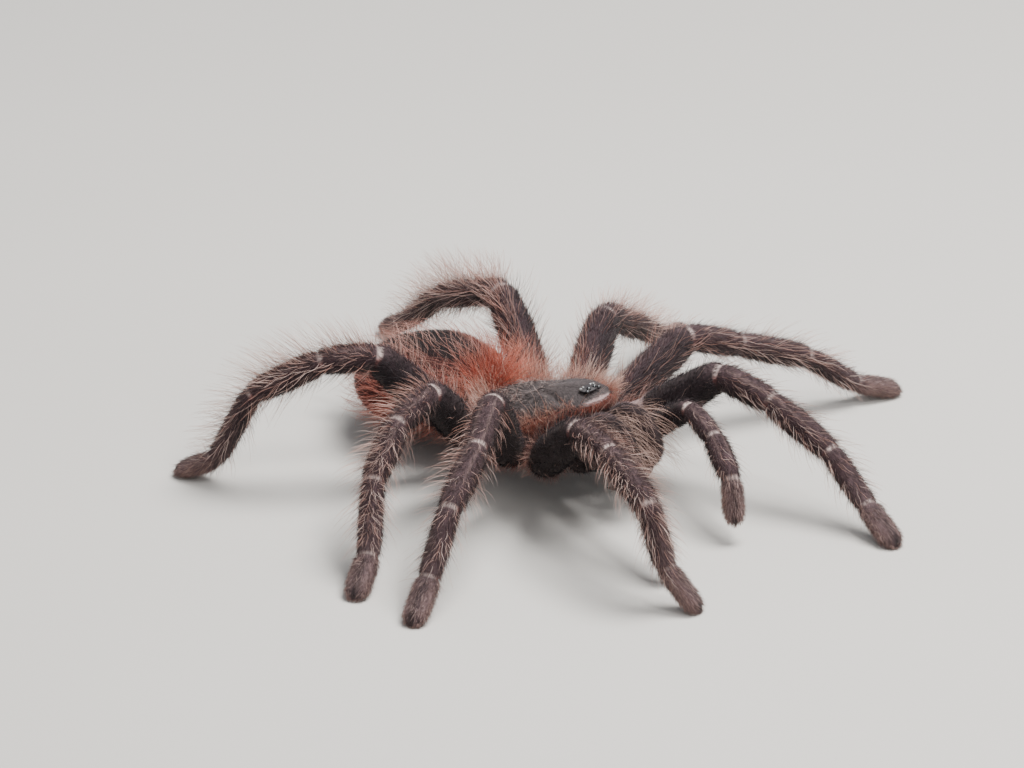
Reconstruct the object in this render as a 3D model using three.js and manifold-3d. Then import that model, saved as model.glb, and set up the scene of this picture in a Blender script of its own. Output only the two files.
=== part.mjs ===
// A life-size museum model of a large hairy tarantula, standing with its legs spread.
//
// Millimetres. +X points ahead of the head, +Y to the spider's left and +Z up. The model
// stands on z = 0, and the origin is under the middle of its bounding box. Each solid
// reaches out to the tips of the short coat, so a leg is as thick here as it looks.
import * as THREE from 'three';
import { mergeVertices } from 'three/addons/utils/BufferGeometryUtils.js';
import Module from 'manifold-3d';

const wasm = await Module();
wasm.setup();

// ---- Driving dimensions -------------------------------------------------------------

const GAP = 0.3; // clear space between neighbouring solids
const SLIVER = 0.1; // facets that a cut leaves smaller than this are merged
const SIDES = 10; // flats round a leg segment
const COXA_SIDES = 8;
const COXA_SWELL = 1.12; // how much a coxa swells in its middle
const FOOT_FLAT_DEPTH = 0.35; // how much of each rounded foot is cut away at the floor

// The front half of the body: the carapace above, the sternum and coxae below.
const CARAPACE = {
  front: 12.5, rear: -12.5, halfWidth: 11.5, headTop: 21.2, backTop: 17,
  rim: 12.4, frontRim: 18.6, // height of the rim along the sides and below the eyes
};
const HEAD = { x: 5.5, z: 13.6, halfLength: 6.6, halfWidth: 7, halfHeight: 5 }; // flesh below the plate
const FOVEA = { x: -3.5, radius: 2.4, depth: 0.8 };
const STERNUM = { x: 0.5, z: 9.6, halfLength: 11.5, halfWidth: 8.5, halfHeight: 3 };
const EYE_MOUND = { x: 9.1, z: 20.2, halfLength: 1.5, halfWidth: 2.15, halfHeight: 1.2 };
const EYES = [
  // x, y, radius of the four eyes of one side, measured from the middle of the mound
  { x: 0.6, y: 0.75, radius: 0.5 },
  { x: 1, y: 1.5, radius: 0.42 },
  { x: -0.45, y: 1.7, radius: 0.38 },
  { x: -0.5, y: 1, radius: 0.32 },
];
const CHELICERA = { x: 17.4, y: 3.15, z: 13.1, halfLength: 6.4, halfWidth: 2.95, halfHeight: 5.9, droop: 0.2 };
const FANG = { x: 20.6, y: 3.1, z: 8.2, length: 7.6, radius: 0.95, tipRadius: 0.28, bend: 1.9 };
const PEDICEL = { front: -9, rear: -16, z: 10.4, radius: 1.5 };
const ABDOMEN = { x: -27.6, z: 11.5, halfLength: 16.6, halfWidth: 13.2, halfHeight: 9.4, tilt: 0.13 };
const SPINNERET = { y: 1.9, z: 9.8, length: 5.2, radius: 0.85, tipRadius: 0.4, yaw: 14, pitch: 2 };

// The limbs, hip first. Each hip is given on the left; the right one is its mirror.
const LIMBS = {
  palp: {
    hip: [14.9, 9.3, 11.1], root: [8, 4.2, 9.6],
    parts: ['femur', 'patella', 'tibia', 'tarsus'],
    lengths: [13.1, 8.1, 9.4, 8.1], waist: [2.2, 2.1, 2, 1.75], belly: [2.6, 2.35, 2.5, 2.05],
    breadth: [1, 1, 1, 1.05],
  },
  leg_1: {
    hip: [10.8, 14, 11.5], root: [5.5, 5, 9.8], lengths: [18, 10.7, 14.2, 11.9, 9.8],
  },
  leg_2: {
    hip: [3.4, 15.5, 11.7], root: [2, 5.5, 9.8], lengths: [18.2, 11.5, 14.5, 12.6, 9.7],
  },
  leg_3: {
    hip: [-5.4, 15.3, 12.2], root: [-3, 5.5, 9.8], lengths: [16.4, 10.3, 11.9, 14, 9.4],
  },
  leg_4: {
    hip: [-15, 12.3, 12.6], root: [-6, 4.5, 9.8], lengths: [17.7, 9.9, 13.9, 16, 9.2],
  },
};
const LEG_PARTS = ['femur', 'patella', 'tibia', 'metatarsus', 'tarsus'];
const LEG_WAIST = [2.9, 2.6, 2.35, 2.1, 1.95]; // radius at the near end of each segment
const LEG_BELLY = [3.75, 2.9, 2.8, 2.4, 2.15]; // greatest radius of each segment
const LEG_BREADTH = [1, 1, 1.02, 1.08, 1.2]; // width over height: the feet are broad pads

// The pose. Degrees, one pair of angles for each segment from the hip outwards:
// yaw from straight ahead, + to the left, and pitch above the horizon.
const POSE = {
  left_palp: { yaw: [-4, -15, -28, -34], pitch: [36, -22, -28, -70] },
  left_leg_1: { yaw: [15, 9, 7, -6, -12], pitch: [36, -15, -27, -39, -28] },
  left_leg_2: { yaw: [84, 68, 64, 66, 66], pitch: [25, -19, -19, -36, -16] },
  left_leg_3: { yaw: [115, 110, 109, 109, 109], pitch: [28, -27, -28, -30, -8] },
  left_leg_4: { yaw: [155, 162, 163, 163, 163], pitch: [37, -19, -21, -36, -26] },
  right_palp: { yaw: [-16, -20, -22, -24], pitch: [30, -25, -30, -55] },
  right_leg_1: { yaw: [-22, -20, -20, 12, 20], pitch: [40, -2, -17, -74, -50] },
  right_leg_2: { yaw: [-61, -62, -69, -77, -71], pitch: [52, -21, -23, -55, -35] },
  right_leg_3: { yaw: [-87, -82, -74, -52, -66], pitch: [47, -10, -34, -45, -26] },
  right_leg_4: { yaw: [-120, -132, -140, -158, -166], pitch: [47, -2, -26, -62, -22] },
};

// ---- Materials ----------------------------------------------------------------------

function coat(color) {
  return new THREE.MeshStandardMaterial({ color, roughness: 0.95, metalness: 0 });
}

function shell(color, roughness) {
  return new THREE.MeshStandardMaterial({ color, roughness, metalness: 0 });
}

// ---- Helpers ------------------------------------------------------------------------

// A geometry as a manifold solid, in the place that the matrix gives it.
function toSolid(geometry, matrix = new THREE.Matrix4()) {
  const bare = geometry.clone().applyMatrix4(matrix);
  bare.deleteAttribute('normal');
  bare.deleteAttribute('uv');
  const merged = mergeVertices(bare, 1e-4);
  const vertProperties = new Float32Array(merged.attributes.position.array);
  const triVerts = new Uint32Array(merged.index.array);
  return new wasm.Manifold(new wasm.Mesh({ numProp: 3, vertProperties, triVerts }));
}

function fromSolid(solid) {
  const { vertProperties, triVerts } = solid.getMesh();
  const geometry = new THREE.BufferGeometry();
  geometry.setAttribute('position', new THREE.BufferAttribute(vertProperties, 3));
  geometry.setIndex(new THREE.BufferAttribute(triVerts, 1));
  return geometry;
}

// Moves every vertex of a geometry by a function of its position.
function sculpt(geometry, move) {
  const position = geometry.attributes.position;
  const point = new THREE.Vector3();
  for (let i = 0; i < position.count; i += 1) {
    move(point.fromBufferAttribute(position, i));
    position.setXYZ(i, point.x, point.y, point.z);
  }
  return geometry;
}

function blend(edge0, edge1, value) {
  return THREE.MathUtils.smoothstep(value, edge0, edge1);
}

// The direction with this yaw and pitch, in degrees.
function direction(yaw, pitch) {
  const a = THREE.MathUtils.degToRad(yaw);
  const b = THREE.MathUtils.degToRad(pitch);
  return new THREE.Vector3(Math.cos(b) * Math.cos(a), Math.cos(b) * Math.sin(a), Math.sin(b));
}

// The turn that takes +Y along a direction and keeps +Z as high as it can be.
function aim(along) {
  const side = new THREE.Vector3().crossVectors(along, new THREE.Vector3(0, 0, 1)).normalize();
  const top = new THREE.Vector3().crossVectors(side, along);
  return new THREE.Quaternion().setFromRotationMatrix(new THREE.Matrix4().makeBasis(side, along, top));
}

// ---- The front of the body ----------------------------------------------------------

// The domed plate over the head and back, grown on every side by `grow`. It is blunt ahead,
// where its rim rises to make room for the jaws.
function carapaceShape(grow) {
  const middle = (CARAPACE.front + CARAPACE.rear) / 2;
  const halfLength = (CARAPACE.front - CARAPACE.rear) / 2 + grow;
  return sculpt(new THREE.SphereGeometry(1, 22, 14), (point) => {
    const ahead = point.x > 0 ? point.x ** 0.62 : point.x;
    const height = Math.max(point.z, 0) ** (0.62 + 0.2 * blend(0.1, 0.6, ahead));
    const taper = 1 - 0.36 * blend(-0.1, 1, ahead) - 0.08 * blend(0.2, 1, -ahead);
    point.x = middle + halfLength * ahead;
    point.y *= (CARAPACE.halfWidth + grow) * taper;
    const crest = THREE.MathUtils.lerp(CARAPACE.backTop, CARAPACE.headTop, blend(-7, 9, point.x));
    const pit = Math.exp(-(((point.x - FOVEA.x) / FOVEA.radius) ** 2) - (point.y / FOVEA.radius) ** 2);
    const rise = (CARAPACE.frontRim - CARAPACE.rim) * blend(1, CARAPACE.front, point.x);
    const bottom = CARAPACE.rim + rise - grow;
    point.z = bottom + (crest + grow - bottom) * height - FOVEA.depth * pit * height;
  });
}

// A ball stretched along each axis.
function egg(middle, halfSize, widthSegments, heightSegments) {
  const geometry = new THREE.SphereGeometry(1, widthSegments, heightSegments);
  return geometry.scale(...halfSize).translate(...middle);
}

// The raised mound that carries the eight eyes, four on each side.
function eyeTubercle() {
  const { x, z, halfLength, halfWidth, halfHeight } = EYE_MOUND;
  let solid = toSolid(egg([x, 0, z], [halfLength, halfWidth, halfHeight], 12, 6));
  for (const eye of EYES) {
    const rise = Math.sqrt(1 - (eye.x / halfLength) ** 2 * 0.8 - (eye.y / halfWidth) ** 2 * 0.8);
    for (const side of [1, -1]) {
      const middle = [x + eye.x, side * eye.y, z + halfHeight * rise - eye.radius * 0.4];
      solid = solid.add(toSolid(egg(middle, [eye.radius, eye.radius, eye.radius], 6, 4)));
    }
  }
  return fromSolid(solid.subtract(toSolid(carapaceShape(GAP))).simplify(SLIVER));
}

// One of the two jaws: a deep blunt block that bulges forward and droops.
function cheliceraShape(side, grow) {
  const { x, y, z, halfLength, halfWidth, halfHeight, droop } = CHELICERA;
  const halfSize = [halfLength + grow, halfWidth + grow, halfHeight + grow];
  return sculpt(egg([0, 0, 0], halfSize, 16, 9), (point) => {
    point.z -= droop * point.x;
    point.set(x + point.x, side * y + point.y, z + point.z);
  });
}

// The fang, folded back under its jaw: a cone bent along an arc.
function fang(side) {
  const profile = [
    new THREE.Vector2(0, 0),
    new THREE.Vector2(FANG.radius, 0),
    new THREE.Vector2(FANG.radius * 0.85, FANG.length * 0.35),
    new THREE.Vector2(FANG.radius * 0.6, FANG.length * 0.7),
    new THREE.Vector2(FANG.tipRadius, FANG.length),
    new THREE.Vector2(0, FANG.length),
  ];
  const arc = FANG.length / FANG.bend;
  const bent = sculpt(new THREE.LatheGeometry(profile, 8), (point) => {
    const turn = point.y / arc;
    const radius = arc - point.x;
    const across = side * FANG.y - point.z;
    point.set(FANG.x - arc + radius * Math.cos(turn), across, FANG.z - radius * Math.sin(turn));
  });
  return fromSolid(toSolid(bent).subtract(toSolid(cheliceraShape(side, GAP))));
}

// The sternum, the flesh of the head and the ten coxae that carry the limbs, as one underside.
function underside(limbs) {
  const [low, high] = [STERNUM, HEAD].map(({ x, z, halfLength, halfWidth, halfHeight }) => (
    toSolid(egg([x, 0, z], [halfLength, halfWidth, halfHeight], 12, 7))
  ));
  let solid = low.add(high);
  for (const limb of limbs) {
    solid = solid.add(limb.coxa);
  }
  for (const limb of limbs) {
    solid = solid.subtract(limb.femurRoom);
  }
  for (const side of [1, -1]) {
    solid = solid.subtract(toSolid(cheliceraShape(side, GAP)));
  }
  return fromSolid(solid.subtract(toSolid(carapaceShape(GAP))).simplify(SLIVER));
}

// ---- The abdomen --------------------------------------------------------------------

// An egg, blunter behind and a little flatter below, with its rear hanging lower.
function abdomenShape(grow) {
  const { x, z, halfLength, halfWidth, halfHeight, tilt } = ABDOMEN;
  return sculpt(new THREE.SphereGeometry(1, 22, 12), (point) => {
    const fullness = 1 - 0.16 * blend(-0.3, 1, point.x);
    const below = point.z < 0 ? 0.92 : 1;
    point.y *= (halfWidth + grow) * fullness;
    const ahead = point.x * (halfLength + grow);
    point.x = x + ahead;
    point.z = z + tilt * ahead + point.z * (halfHeight + grow) * fullness * below;
  });
}

function pedicel(body) {
  const length = PEDICEL.front - PEDICEL.rear;
  const rod = new THREE.CylinderGeometry(PEDICEL.radius, PEDICEL.radius, length, SIDES);
  rod.rotateZ(Math.PI / 2).translate((PEDICEL.front + PEDICEL.rear) / 2, 0, PEDICEL.z);
  return fromSolid(toSolid(rod).subtract(body).subtract(toSolid(abdomenShape(GAP))));
}

function spinneret(side) {
  const { radius, tipRadius, length } = SPINNERET;
  const cone = new THREE.CylinderGeometry(tipRadius, radius, length * 2, 8);
  cone.translate(0, length, 0);
  const root = new THREE.Vector3(ABDOMEN.x - ABDOMEN.halfLength + 1, side * SPINNERET.y, SPINNERET.z);
  const along = direction(180 - side * SPINNERET.yaw, SPINNERET.pitch);
  const start = root.addScaledVector(along, -length + 1);
  const place = new THREE.Matrix4().compose(start, aim(along), new THREE.Vector3(1, 1, 1));
  return fromSolid(toSolid(cone, place).subtract(toSolid(abdomenShape(GAP))));
}

// ---- The limbs ----------------------------------------------------------------------

function sameLevel(a, b) {
  return Math.abs(a - b) < 1e-4;
}

// Slides a point along Y from its level plane onto the plane square to `cut`.
function slant(point, cut) {
  point.y -= (cut.x * point.x + cut.z * point.z) / cut.y;
}

// One segment along +Y from 0 to its length. Its ends are planes square to `nearCut` and
// `farCut`, the half-way directions at the two joints, so bent neighbours meet flush.
// `grow` swells it on every side.
function segmentGeometry(length, waist, belly, farWaist, breadth, nearCut, farCut, grow = 0) {
  const near = GAP / 2 - grow;
  const far = length - GAP / 2 + grow;
  const profile = [
    new THREE.Vector2(0, near),
    new THREE.Vector2(waist + grow, near),
    new THREE.Vector2(belly + grow, length * 0.36),
    new THREE.Vector2(THREE.MathUtils.lerp(farWaist, belly, 0.85) + grow, length * 0.68),
    new THREE.Vector2(farWaist + grow, far),
    new THREE.Vector2(0, far),
  ];
  return sculpt(new THREE.LatheGeometry(profile, SIDES), (point) => {
    point.x *= breadth;
    if (sameLevel(point.y, near)) {
      slant(point, nearCut);
    } else if (sameLevel(point.y, far)) {
      slant(point, farCut);
    }
  });
}

// The first segment, which joins the underside: a stout barrel, slanted at its far end only.
function coxaGeometry(length, radius, farCut) {
  const far = length - GAP / 2;
  const profile = [
    new THREE.Vector2(0, 0),
    new THREE.Vector2(radius, 0),
    new THREE.Vector2(radius * COXA_SWELL, length * 0.55),
    new THREE.Vector2(radius, far),
    new THREE.Vector2(0, far),
  ];
  return sculpt(new THREE.LatheGeometry(profile, COXA_SIDES), (point) => {
    if (sameLevel(point.y, far)) {
      slant(point, farCut);
    }
  });
}

// The last segment, with a blunt round end.
function tarsusGeometry(length, waist, belly, breadth, nearCut) {
  const near = GAP / 2;
  const profile = [
    new THREE.Vector2(0, near),
    new THREE.Vector2(waist, near),
    new THREE.Vector2(belly, length * 0.4),
  ];
  const steps = 4;
  for (let i = 0; i < steps; i += 1) {
    const angle = (i / steps) * (Math.PI / 2);
    profile.push(new THREE.Vector2(waist * Math.cos(angle), length - waist + waist * Math.sin(angle)));
  }
  profile.push(new THREE.Vector2(0, length));
  return sculpt(new THREE.LatheGeometry(profile, SIDES), (point) => {
    point.x *= breadth;
    if (sameLevel(point.y, near)) {
      slant(point, nearCut);
    }
  });
}

// The small turn of all segments beyond the knee that sets the foot on the floor.
function landing(hipHeight, lengths, pitch, footHeight, footRadius) {
  let low = -12;
  let high = 12;
  for (let i = 0; i < 40; i += 1) {
    const turn = (low + high) / 2;
    let height = hipHeight;
    lengths.forEach((length, k) => {
      const reach = k === lengths.length - 1 ? length - footRadius : length;
      const angle = THREE.MathUtils.degToRad(pitch[k] + (k > 0 ? turn : 0));
      height += reach * Math.sin(angle);
    });
    if (height > footHeight) {
      high = turn;
    } else {
      low = turn;
    }
  }
  return (low + high) / 2;
}

// Builds one limb: its coxa, as a solid that joins the underside, the room that its femur
// takes, and its free segments.
function makeLimb(sideName, limbName) {
  const limb = LIMBS[limbName];
  const side = sideName === 'left' ? 1 : -1;
  const { yaw, pitch } = POSE[`${sideName}_${limbName}`];
  const parts = limb.parts ?? LEG_PARTS;
  const waist = limb.waist ?? LEG_WAIST;
  const belly = limb.belly ?? LEG_BELLY;
  const breadth = limb.breadth ?? LEG_BREADTH;
  const hip = new THREE.Vector3(limb.hip[0], side * limb.hip[1], limb.hip[2]);
  const root = new THREE.Vector3(limb.root[0], side * limb.root[1], limb.root[2]);
  const footRadius = waist[waist.length - 1];
  const isLeg = parts.length === LEG_PARTS.length;
  const footHeight = footRadius - FOOT_FLAT_DEPTH;
  const turn = isLeg ? landing(hip.z, limb.lengths, pitch, footHeight, footRadius) : 0;
  const along = parts.map((_, k) => direction(yaw[k], pitch[k] + (k > 0 ? turn : 0)));
  const coxaAlong = new THREE.Vector3().subVectors(hip, root).normalize();
  const cuts = along.map((here, k) => (k > 0 ? along[k - 1] : coxaAlong).clone().add(here).normalize());

  const unit = new THREE.Vector3(1, 1, 1);
  const coxaTurn = aim(coxaAlong);
  const coxaCut = cuts[0].clone().applyQuaternion(coxaTurn.clone().invert());
  const coxaLength = hip.distanceTo(root);
  const coxaShape = coxaGeometry(coxaLength, waist[0], coxaCut);
  const coxa = toSolid(coxaShape, new THREE.Matrix4().compose(root, coxaTurn, unit));

  const floor = new THREE.BoxGeometry(400, 400, 20).translate(0, 0, -10);
  const joint = hip.clone();
  let femurRoom;
  const meshes = parts.map((part, k) => {
    const turned = aim(along[k]);
    const inverse = turned.clone().invert();
    const nearCut = cuts[k].clone().applyQuaternion(inverse);
    const place = new THREE.Matrix4().compose(joint, turned, unit);
    const mesh = new THREE.Mesh();
    mesh.name = `${sideName}_${limbName}_${part}`;
    mesh.material = coat(k === parts.length - 1 ? '#4a3c38' : '#37282a');
    if (k < parts.length - 1) {
      const farCut = cuts[k + 1].clone().applyQuaternion(inverse);
      const shape = [limb.lengths[k], waist[k], belly[k], waist[k + 1], breadth[k], nearCut, farCut];
      mesh.geometry = segmentGeometry(...shape);
      mesh.applyMatrix4(place);
      femurRoom ??= toSolid(segmentGeometry(...shape, GAP), place);
    } else {
      const shape = tarsusGeometry(limb.lengths[k], waist[k], belly[k], breadth[k], nearCut);
      mesh.geometry = fromSolid(toSolid(shape, place).subtract(toSolid(floor)).simplify(SLIVER));
    }
    joint.addScaledVector(along[k], limb.lengths[k]);
    return mesh;
  });
  return { coxa, femurRoom, meshes };
}

// ---- The whole spider ---------------------------------------------------------------

function named(name, geometry, material) {
  const mesh = new THREE.Mesh(geometry, material);
  mesh.name = name;
  return mesh;
}

const spider = new THREE.Group();
const limbs = [];
for (const side of ['left', 'right']) {
  for (const limb of Object.keys(LIMBS)) {
    limbs.push(makeLimb(side, limb));
  }
}
const body = underside(limbs);
spider.add(named('sternum_and_coxae', body, coat('#2a2021')));
spider.add(named('carapace', carapaceShape(0), coat('#5d4a42')));
spider.add(named('eye_tubercle', eyeTubercle(), shell('#151214', 0.2)));
spider.add(named('pedicel', pedicel(toSolid(body)), coat('#2c2122')));
const abdomen = toSolid(abdomenShape(0)).subtract(toSolid(carapaceShape(GAP)));
spider.add(named('abdomen', fromSolid(abdomen), coat('#2b1f21')));
for (const [name, side] of [['left', 1], ['right', -1]]) {
  spider.add(named(`${name}_chelicera`, cheliceraShape(side, 0), coat('#6a5048')));
  spider.add(named(`${name}_fang`, fang(side), shell('#120e0f', 0.25)));
  spider.add(named(`${name}_spinneret`, spinneret(side), coat('#33272a')));
}
for (const limb of limbs) {
  spider.add(...limb.meshes);
}

// The origin goes under the middle of the bounding box.
const middle = new THREE.Box3().setFromObject(spider).getCenter(new THREE.Vector3());
spider.position.set(-middle.x, -middle.y, 0);

export default spider;
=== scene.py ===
"""The looks of a life-size model of a hairy tarantula: one velvet skin over body and legs, a
hard carapace, eyes and fangs, and a coat of solid hairs. Shapes are worked out in millimetres,
in the frame's own axes: +X ahead of the head, +Y to the spider's left, +Z up from the floor."""

import math

import bpy
import numpy as np
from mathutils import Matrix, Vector
from mathutils.bvhtree import BVHTree


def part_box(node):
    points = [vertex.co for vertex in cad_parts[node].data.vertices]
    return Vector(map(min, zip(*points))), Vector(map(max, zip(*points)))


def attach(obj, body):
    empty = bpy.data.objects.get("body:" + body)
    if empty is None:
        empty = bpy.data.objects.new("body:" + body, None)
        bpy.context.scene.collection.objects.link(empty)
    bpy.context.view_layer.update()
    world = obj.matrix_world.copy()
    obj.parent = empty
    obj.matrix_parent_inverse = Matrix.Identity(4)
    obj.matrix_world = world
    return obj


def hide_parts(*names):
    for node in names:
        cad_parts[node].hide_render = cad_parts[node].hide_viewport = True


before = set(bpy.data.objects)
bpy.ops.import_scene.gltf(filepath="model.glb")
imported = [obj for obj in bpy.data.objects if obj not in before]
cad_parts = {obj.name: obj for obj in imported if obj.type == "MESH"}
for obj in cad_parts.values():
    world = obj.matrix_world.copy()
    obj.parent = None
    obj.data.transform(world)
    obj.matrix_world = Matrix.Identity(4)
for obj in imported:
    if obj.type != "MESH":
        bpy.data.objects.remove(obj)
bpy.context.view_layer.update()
MM = 0.001
rng = np.random.default_rng(7)

# ======================================================================================
# The limbs: four pairs of legs and one pair of palps. Each is a chain of tubes of horny
# cuticle with a soft ring at every joint, so each is drawn as one tube that bends and
# narrows there. Joints and thicknesses are measured on the frame's own segments.
# ======================================================================================
VELVET_DEPTH = 0.55  # the short coat between the skin and the outline of the frame
LEG_PARTS = ["femur", "patella", "tibia", "metatarsus", "tarsus"]
PALP_PARTS = ["femur", "patella", "tibia", "tarsus"]
ROW_STEP = 0.55  # spacing of the rows of points along a limb
COLUMNS = 36  # points round a limb
CORNER = 2.3  # how far from a joint a limb starts to bend
CREASE = 0.11  # how deep the soft ring at a joint is, as a share of the radius
CREASE_WIDTH = 0.55
TOE_ROWS = np.array([0.3, 0.55, 0.75, 0.88, 0.96])  # extra rows that round off the very tip
TOE_TAPER = 3.4  # how far from its tip a tarsus starts to narrow
TOE_BLUNTNESS = 2.8  # 2 would round the tip off as a half ball
TIP_RADIUS, TIP_INSET = 0.05, 0.15  # the skin ends this far inside the frame's own tip
FAR_END, TOE_END = 0.8, 0.92  # corners past this share of a segment's length are at its end
TOUCH = 0.45  # corners of two segments closer than this face each other across a joint
CORNER_SHARE = 0.42  # a bend takes up at most this much of the segments beside it
ROOT_SHARE = np.array([0.55, 0.36, 1.0])  # how far out towards its hip a limb starts
ROOT_DROP = np.array([0, 0, -2.0])
MEASURE_FROM, MEASURE_TO = 0.3, 0.6  # the stretch of a segment where its thickness is taken
WAIST = 0.86  # thickness of a segment at its ends over that at its middle
ROOT_BELLY, ROOT_WAIST, HIP_WAIST = 0.9, 0.8, 1.02  # the root, its start and the hip
SWELL_LEAN, SWELL_FULLNESS = 0.85, 0.7  # a segment swells most a little towards its root
SKIN_CLEARANCE = 0.12  # the skin stays this far above the floor
FLAT_SIDES = 0.951  # width of the frame's ten-sided segments over that of a round one


def unit(vectors):
    return vectors / np.maximum(np.linalg.norm(vectors, axis=-1, keepdims=True), 1e-9)


def node_points(name):
    """The distinct corners of a frame node, in millimetres."""
    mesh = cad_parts[name].data
    points = np.zeros(len(mesh.vertices) * 3)
    mesh.vertices.foreach_get("co", points)
    return np.unique(np.round(points.reshape(-1, 3) / MM, 3), axis=0)


def end_ring(points, away_from):
    """The middle of the ring of corners at the end of a segment that is far from a point."""
    distance = np.linalg.norm(points - away_from, axis=1)
    return points[distance > FAR_END * distance.max()].mean(axis=0)


def joint_between(near, far):
    """The middle of the gap between two neighbouring segments."""
    gaps = np.linalg.norm(near[:, None] - far[None], axis=2)
    near_face = near[gaps.min(axis=1) < TOUCH].mean(axis=0)
    far_face = far[gaps.min(axis=0) < TOUCH].mean(axis=0)
    return (near_face + far_face) / 2


def smooth_step(edge0, edge1, value):
    t = np.clip((value - edge0) / (edge1 - edge0), 0, 1)
    return t * t * (3 - 2 * t)


class Form:
    """A closed skin over a grid of points. Rows follow the lie of the hairs and columns run
    round the form. `station` says for each row how far along the real part it is."""

    def __init__(self, name, points, station):
        self.name = name
        self.points = points
        self.station = station
        across = np.roll(points, -1, axis=1) - np.roll(points, 1, axis=1)
        along = np.gradient(points, axis=0)
        self.lie = unit(along)
        self.normal = unit(np.cross(along, across))
        middle = points.mean(axis=1, keepdims=True)
        if (self.normal * (points - middle)).sum() < 0:
            self.normal = -self.normal

    def scatter(self, count, weight=None):
        """Roots of `count` hairs, spread evenly by area, or by area times a weight."""
        rows, columns, _ = self.points.shape
        step_row = self.points[1:] - self.points[:-1]
        step_column = np.roll(self.points, -1, axis=1)[:-1] - self.points[:-1]
        area = np.linalg.norm(np.cross(step_row, step_column), axis=2)
        station = (self.station[1:] + self.station[:-1]) / 2
        turn = (np.arange(columns) + 0.5) / columns
        if weight is not None:
            area = area * weight(station[:, None], turn[None, :])
        chance = area.ravel() / area.sum()
        cell = rng.choice(len(chance), size=count, p=chance)
        row, column = cell // columns, cell % columns
        a, b = rng.random(count), rng.random(count)
        beside = (column + 1) % columns

        def between(grid):
            low = grid[row, column] * (1 - b)[:, None] + grid[row, beside] * b[:, None]
            high = grid[row + 1, column] * (1 - b)[:, None] + grid[row + 1, beside] * b[:, None]
            return low * (1 - a)[:, None] + high * a[:, None]

        normal = unit(between(self.normal))
        lie = between(self.lie)
        lie = unit(lie - normal * (lie * normal).sum(axis=1, keepdims=True))
        return {
            "root": between(self.points),
            "normal": normal,
            "lie": lie,
            "station": self.station[row] * (1 - a) + self.station[row + 1] * a,
            "turn": (column + b) / columns,
            "u": (column + b) / columns,
            "v": (row + a) / (rows - 1),
        }


def rounded_path(joints, step):
    """Points every `step` along a chain of joints whose corners are rounded, with the
    station of each: 2.5 is half-way along the third segment."""
    spots, stations = [], []
    last = len(joints) - 1
    for k in range(last):
        start, end = joints[k], joints[k + 1]
        length = np.linalg.norm(end - start)
        count = max(int(length / step), 4)
        for i in range(count):
            spots.append(start + (end - start) * i / count)
            stations.append(k + i / count)
    spots.append(joints[last])
    stations.append(float(last))
    spots, stations = np.array(spots), np.array(stations)
    for k in range(1, last):
        before, after = joints[k - 1] - joints[k], joints[k + 1] - joints[k]
        lengths = np.linalg.norm(before), np.linalg.norm(after)
        reach = min(CORNER, CORNER_SHARE * lengths[0], CORNER_SHARE * lengths[1])
        start = joints[k] + unit(before) * reach
        end = joints[k] + unit(after) * reach
        near = np.linalg.norm(spots - joints[k], axis=1)
        for i in np.where(near < reach * 0.999)[0]:
            side = near[i] / reach * (-1 if stations[i] < k else 1)
            t = (side + 1) / 2
            spots[i] = (1 - t) ** 2 * start + 2 * t * (1 - t) * joints[k] + t**2 * end
    return spots, stations


def tube(name, spots, stations, radius, broad=1.0, columns=COLUMNS):
    """A form round a path, `broad` times as wide as high. Column 0 runs along its underside."""
    along = unit(np.gradient(spots, axis=0))
    side = unit(np.cross(along, np.array([0.0, 0.0, 1.0])))
    top = np.cross(side, along)
    angle = 2 * np.pi * np.arange(columns) / columns
    across = np.sin(angle)[None, :] * np.broadcast_to(broad, len(spots))[:, None]
    ring = -np.cos(angle)[None, :, None] * top[:, None] + across[:, :, None] * side[:, None]
    points = spots[:, None] + ring * np.asarray(radius)[:, None, None]
    return Form(name, points, stations)


body_middle = np.array([sum(axis) / 2 / MM for axis in zip(*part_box("carapace"))])
body_middle[2] = 0


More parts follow.
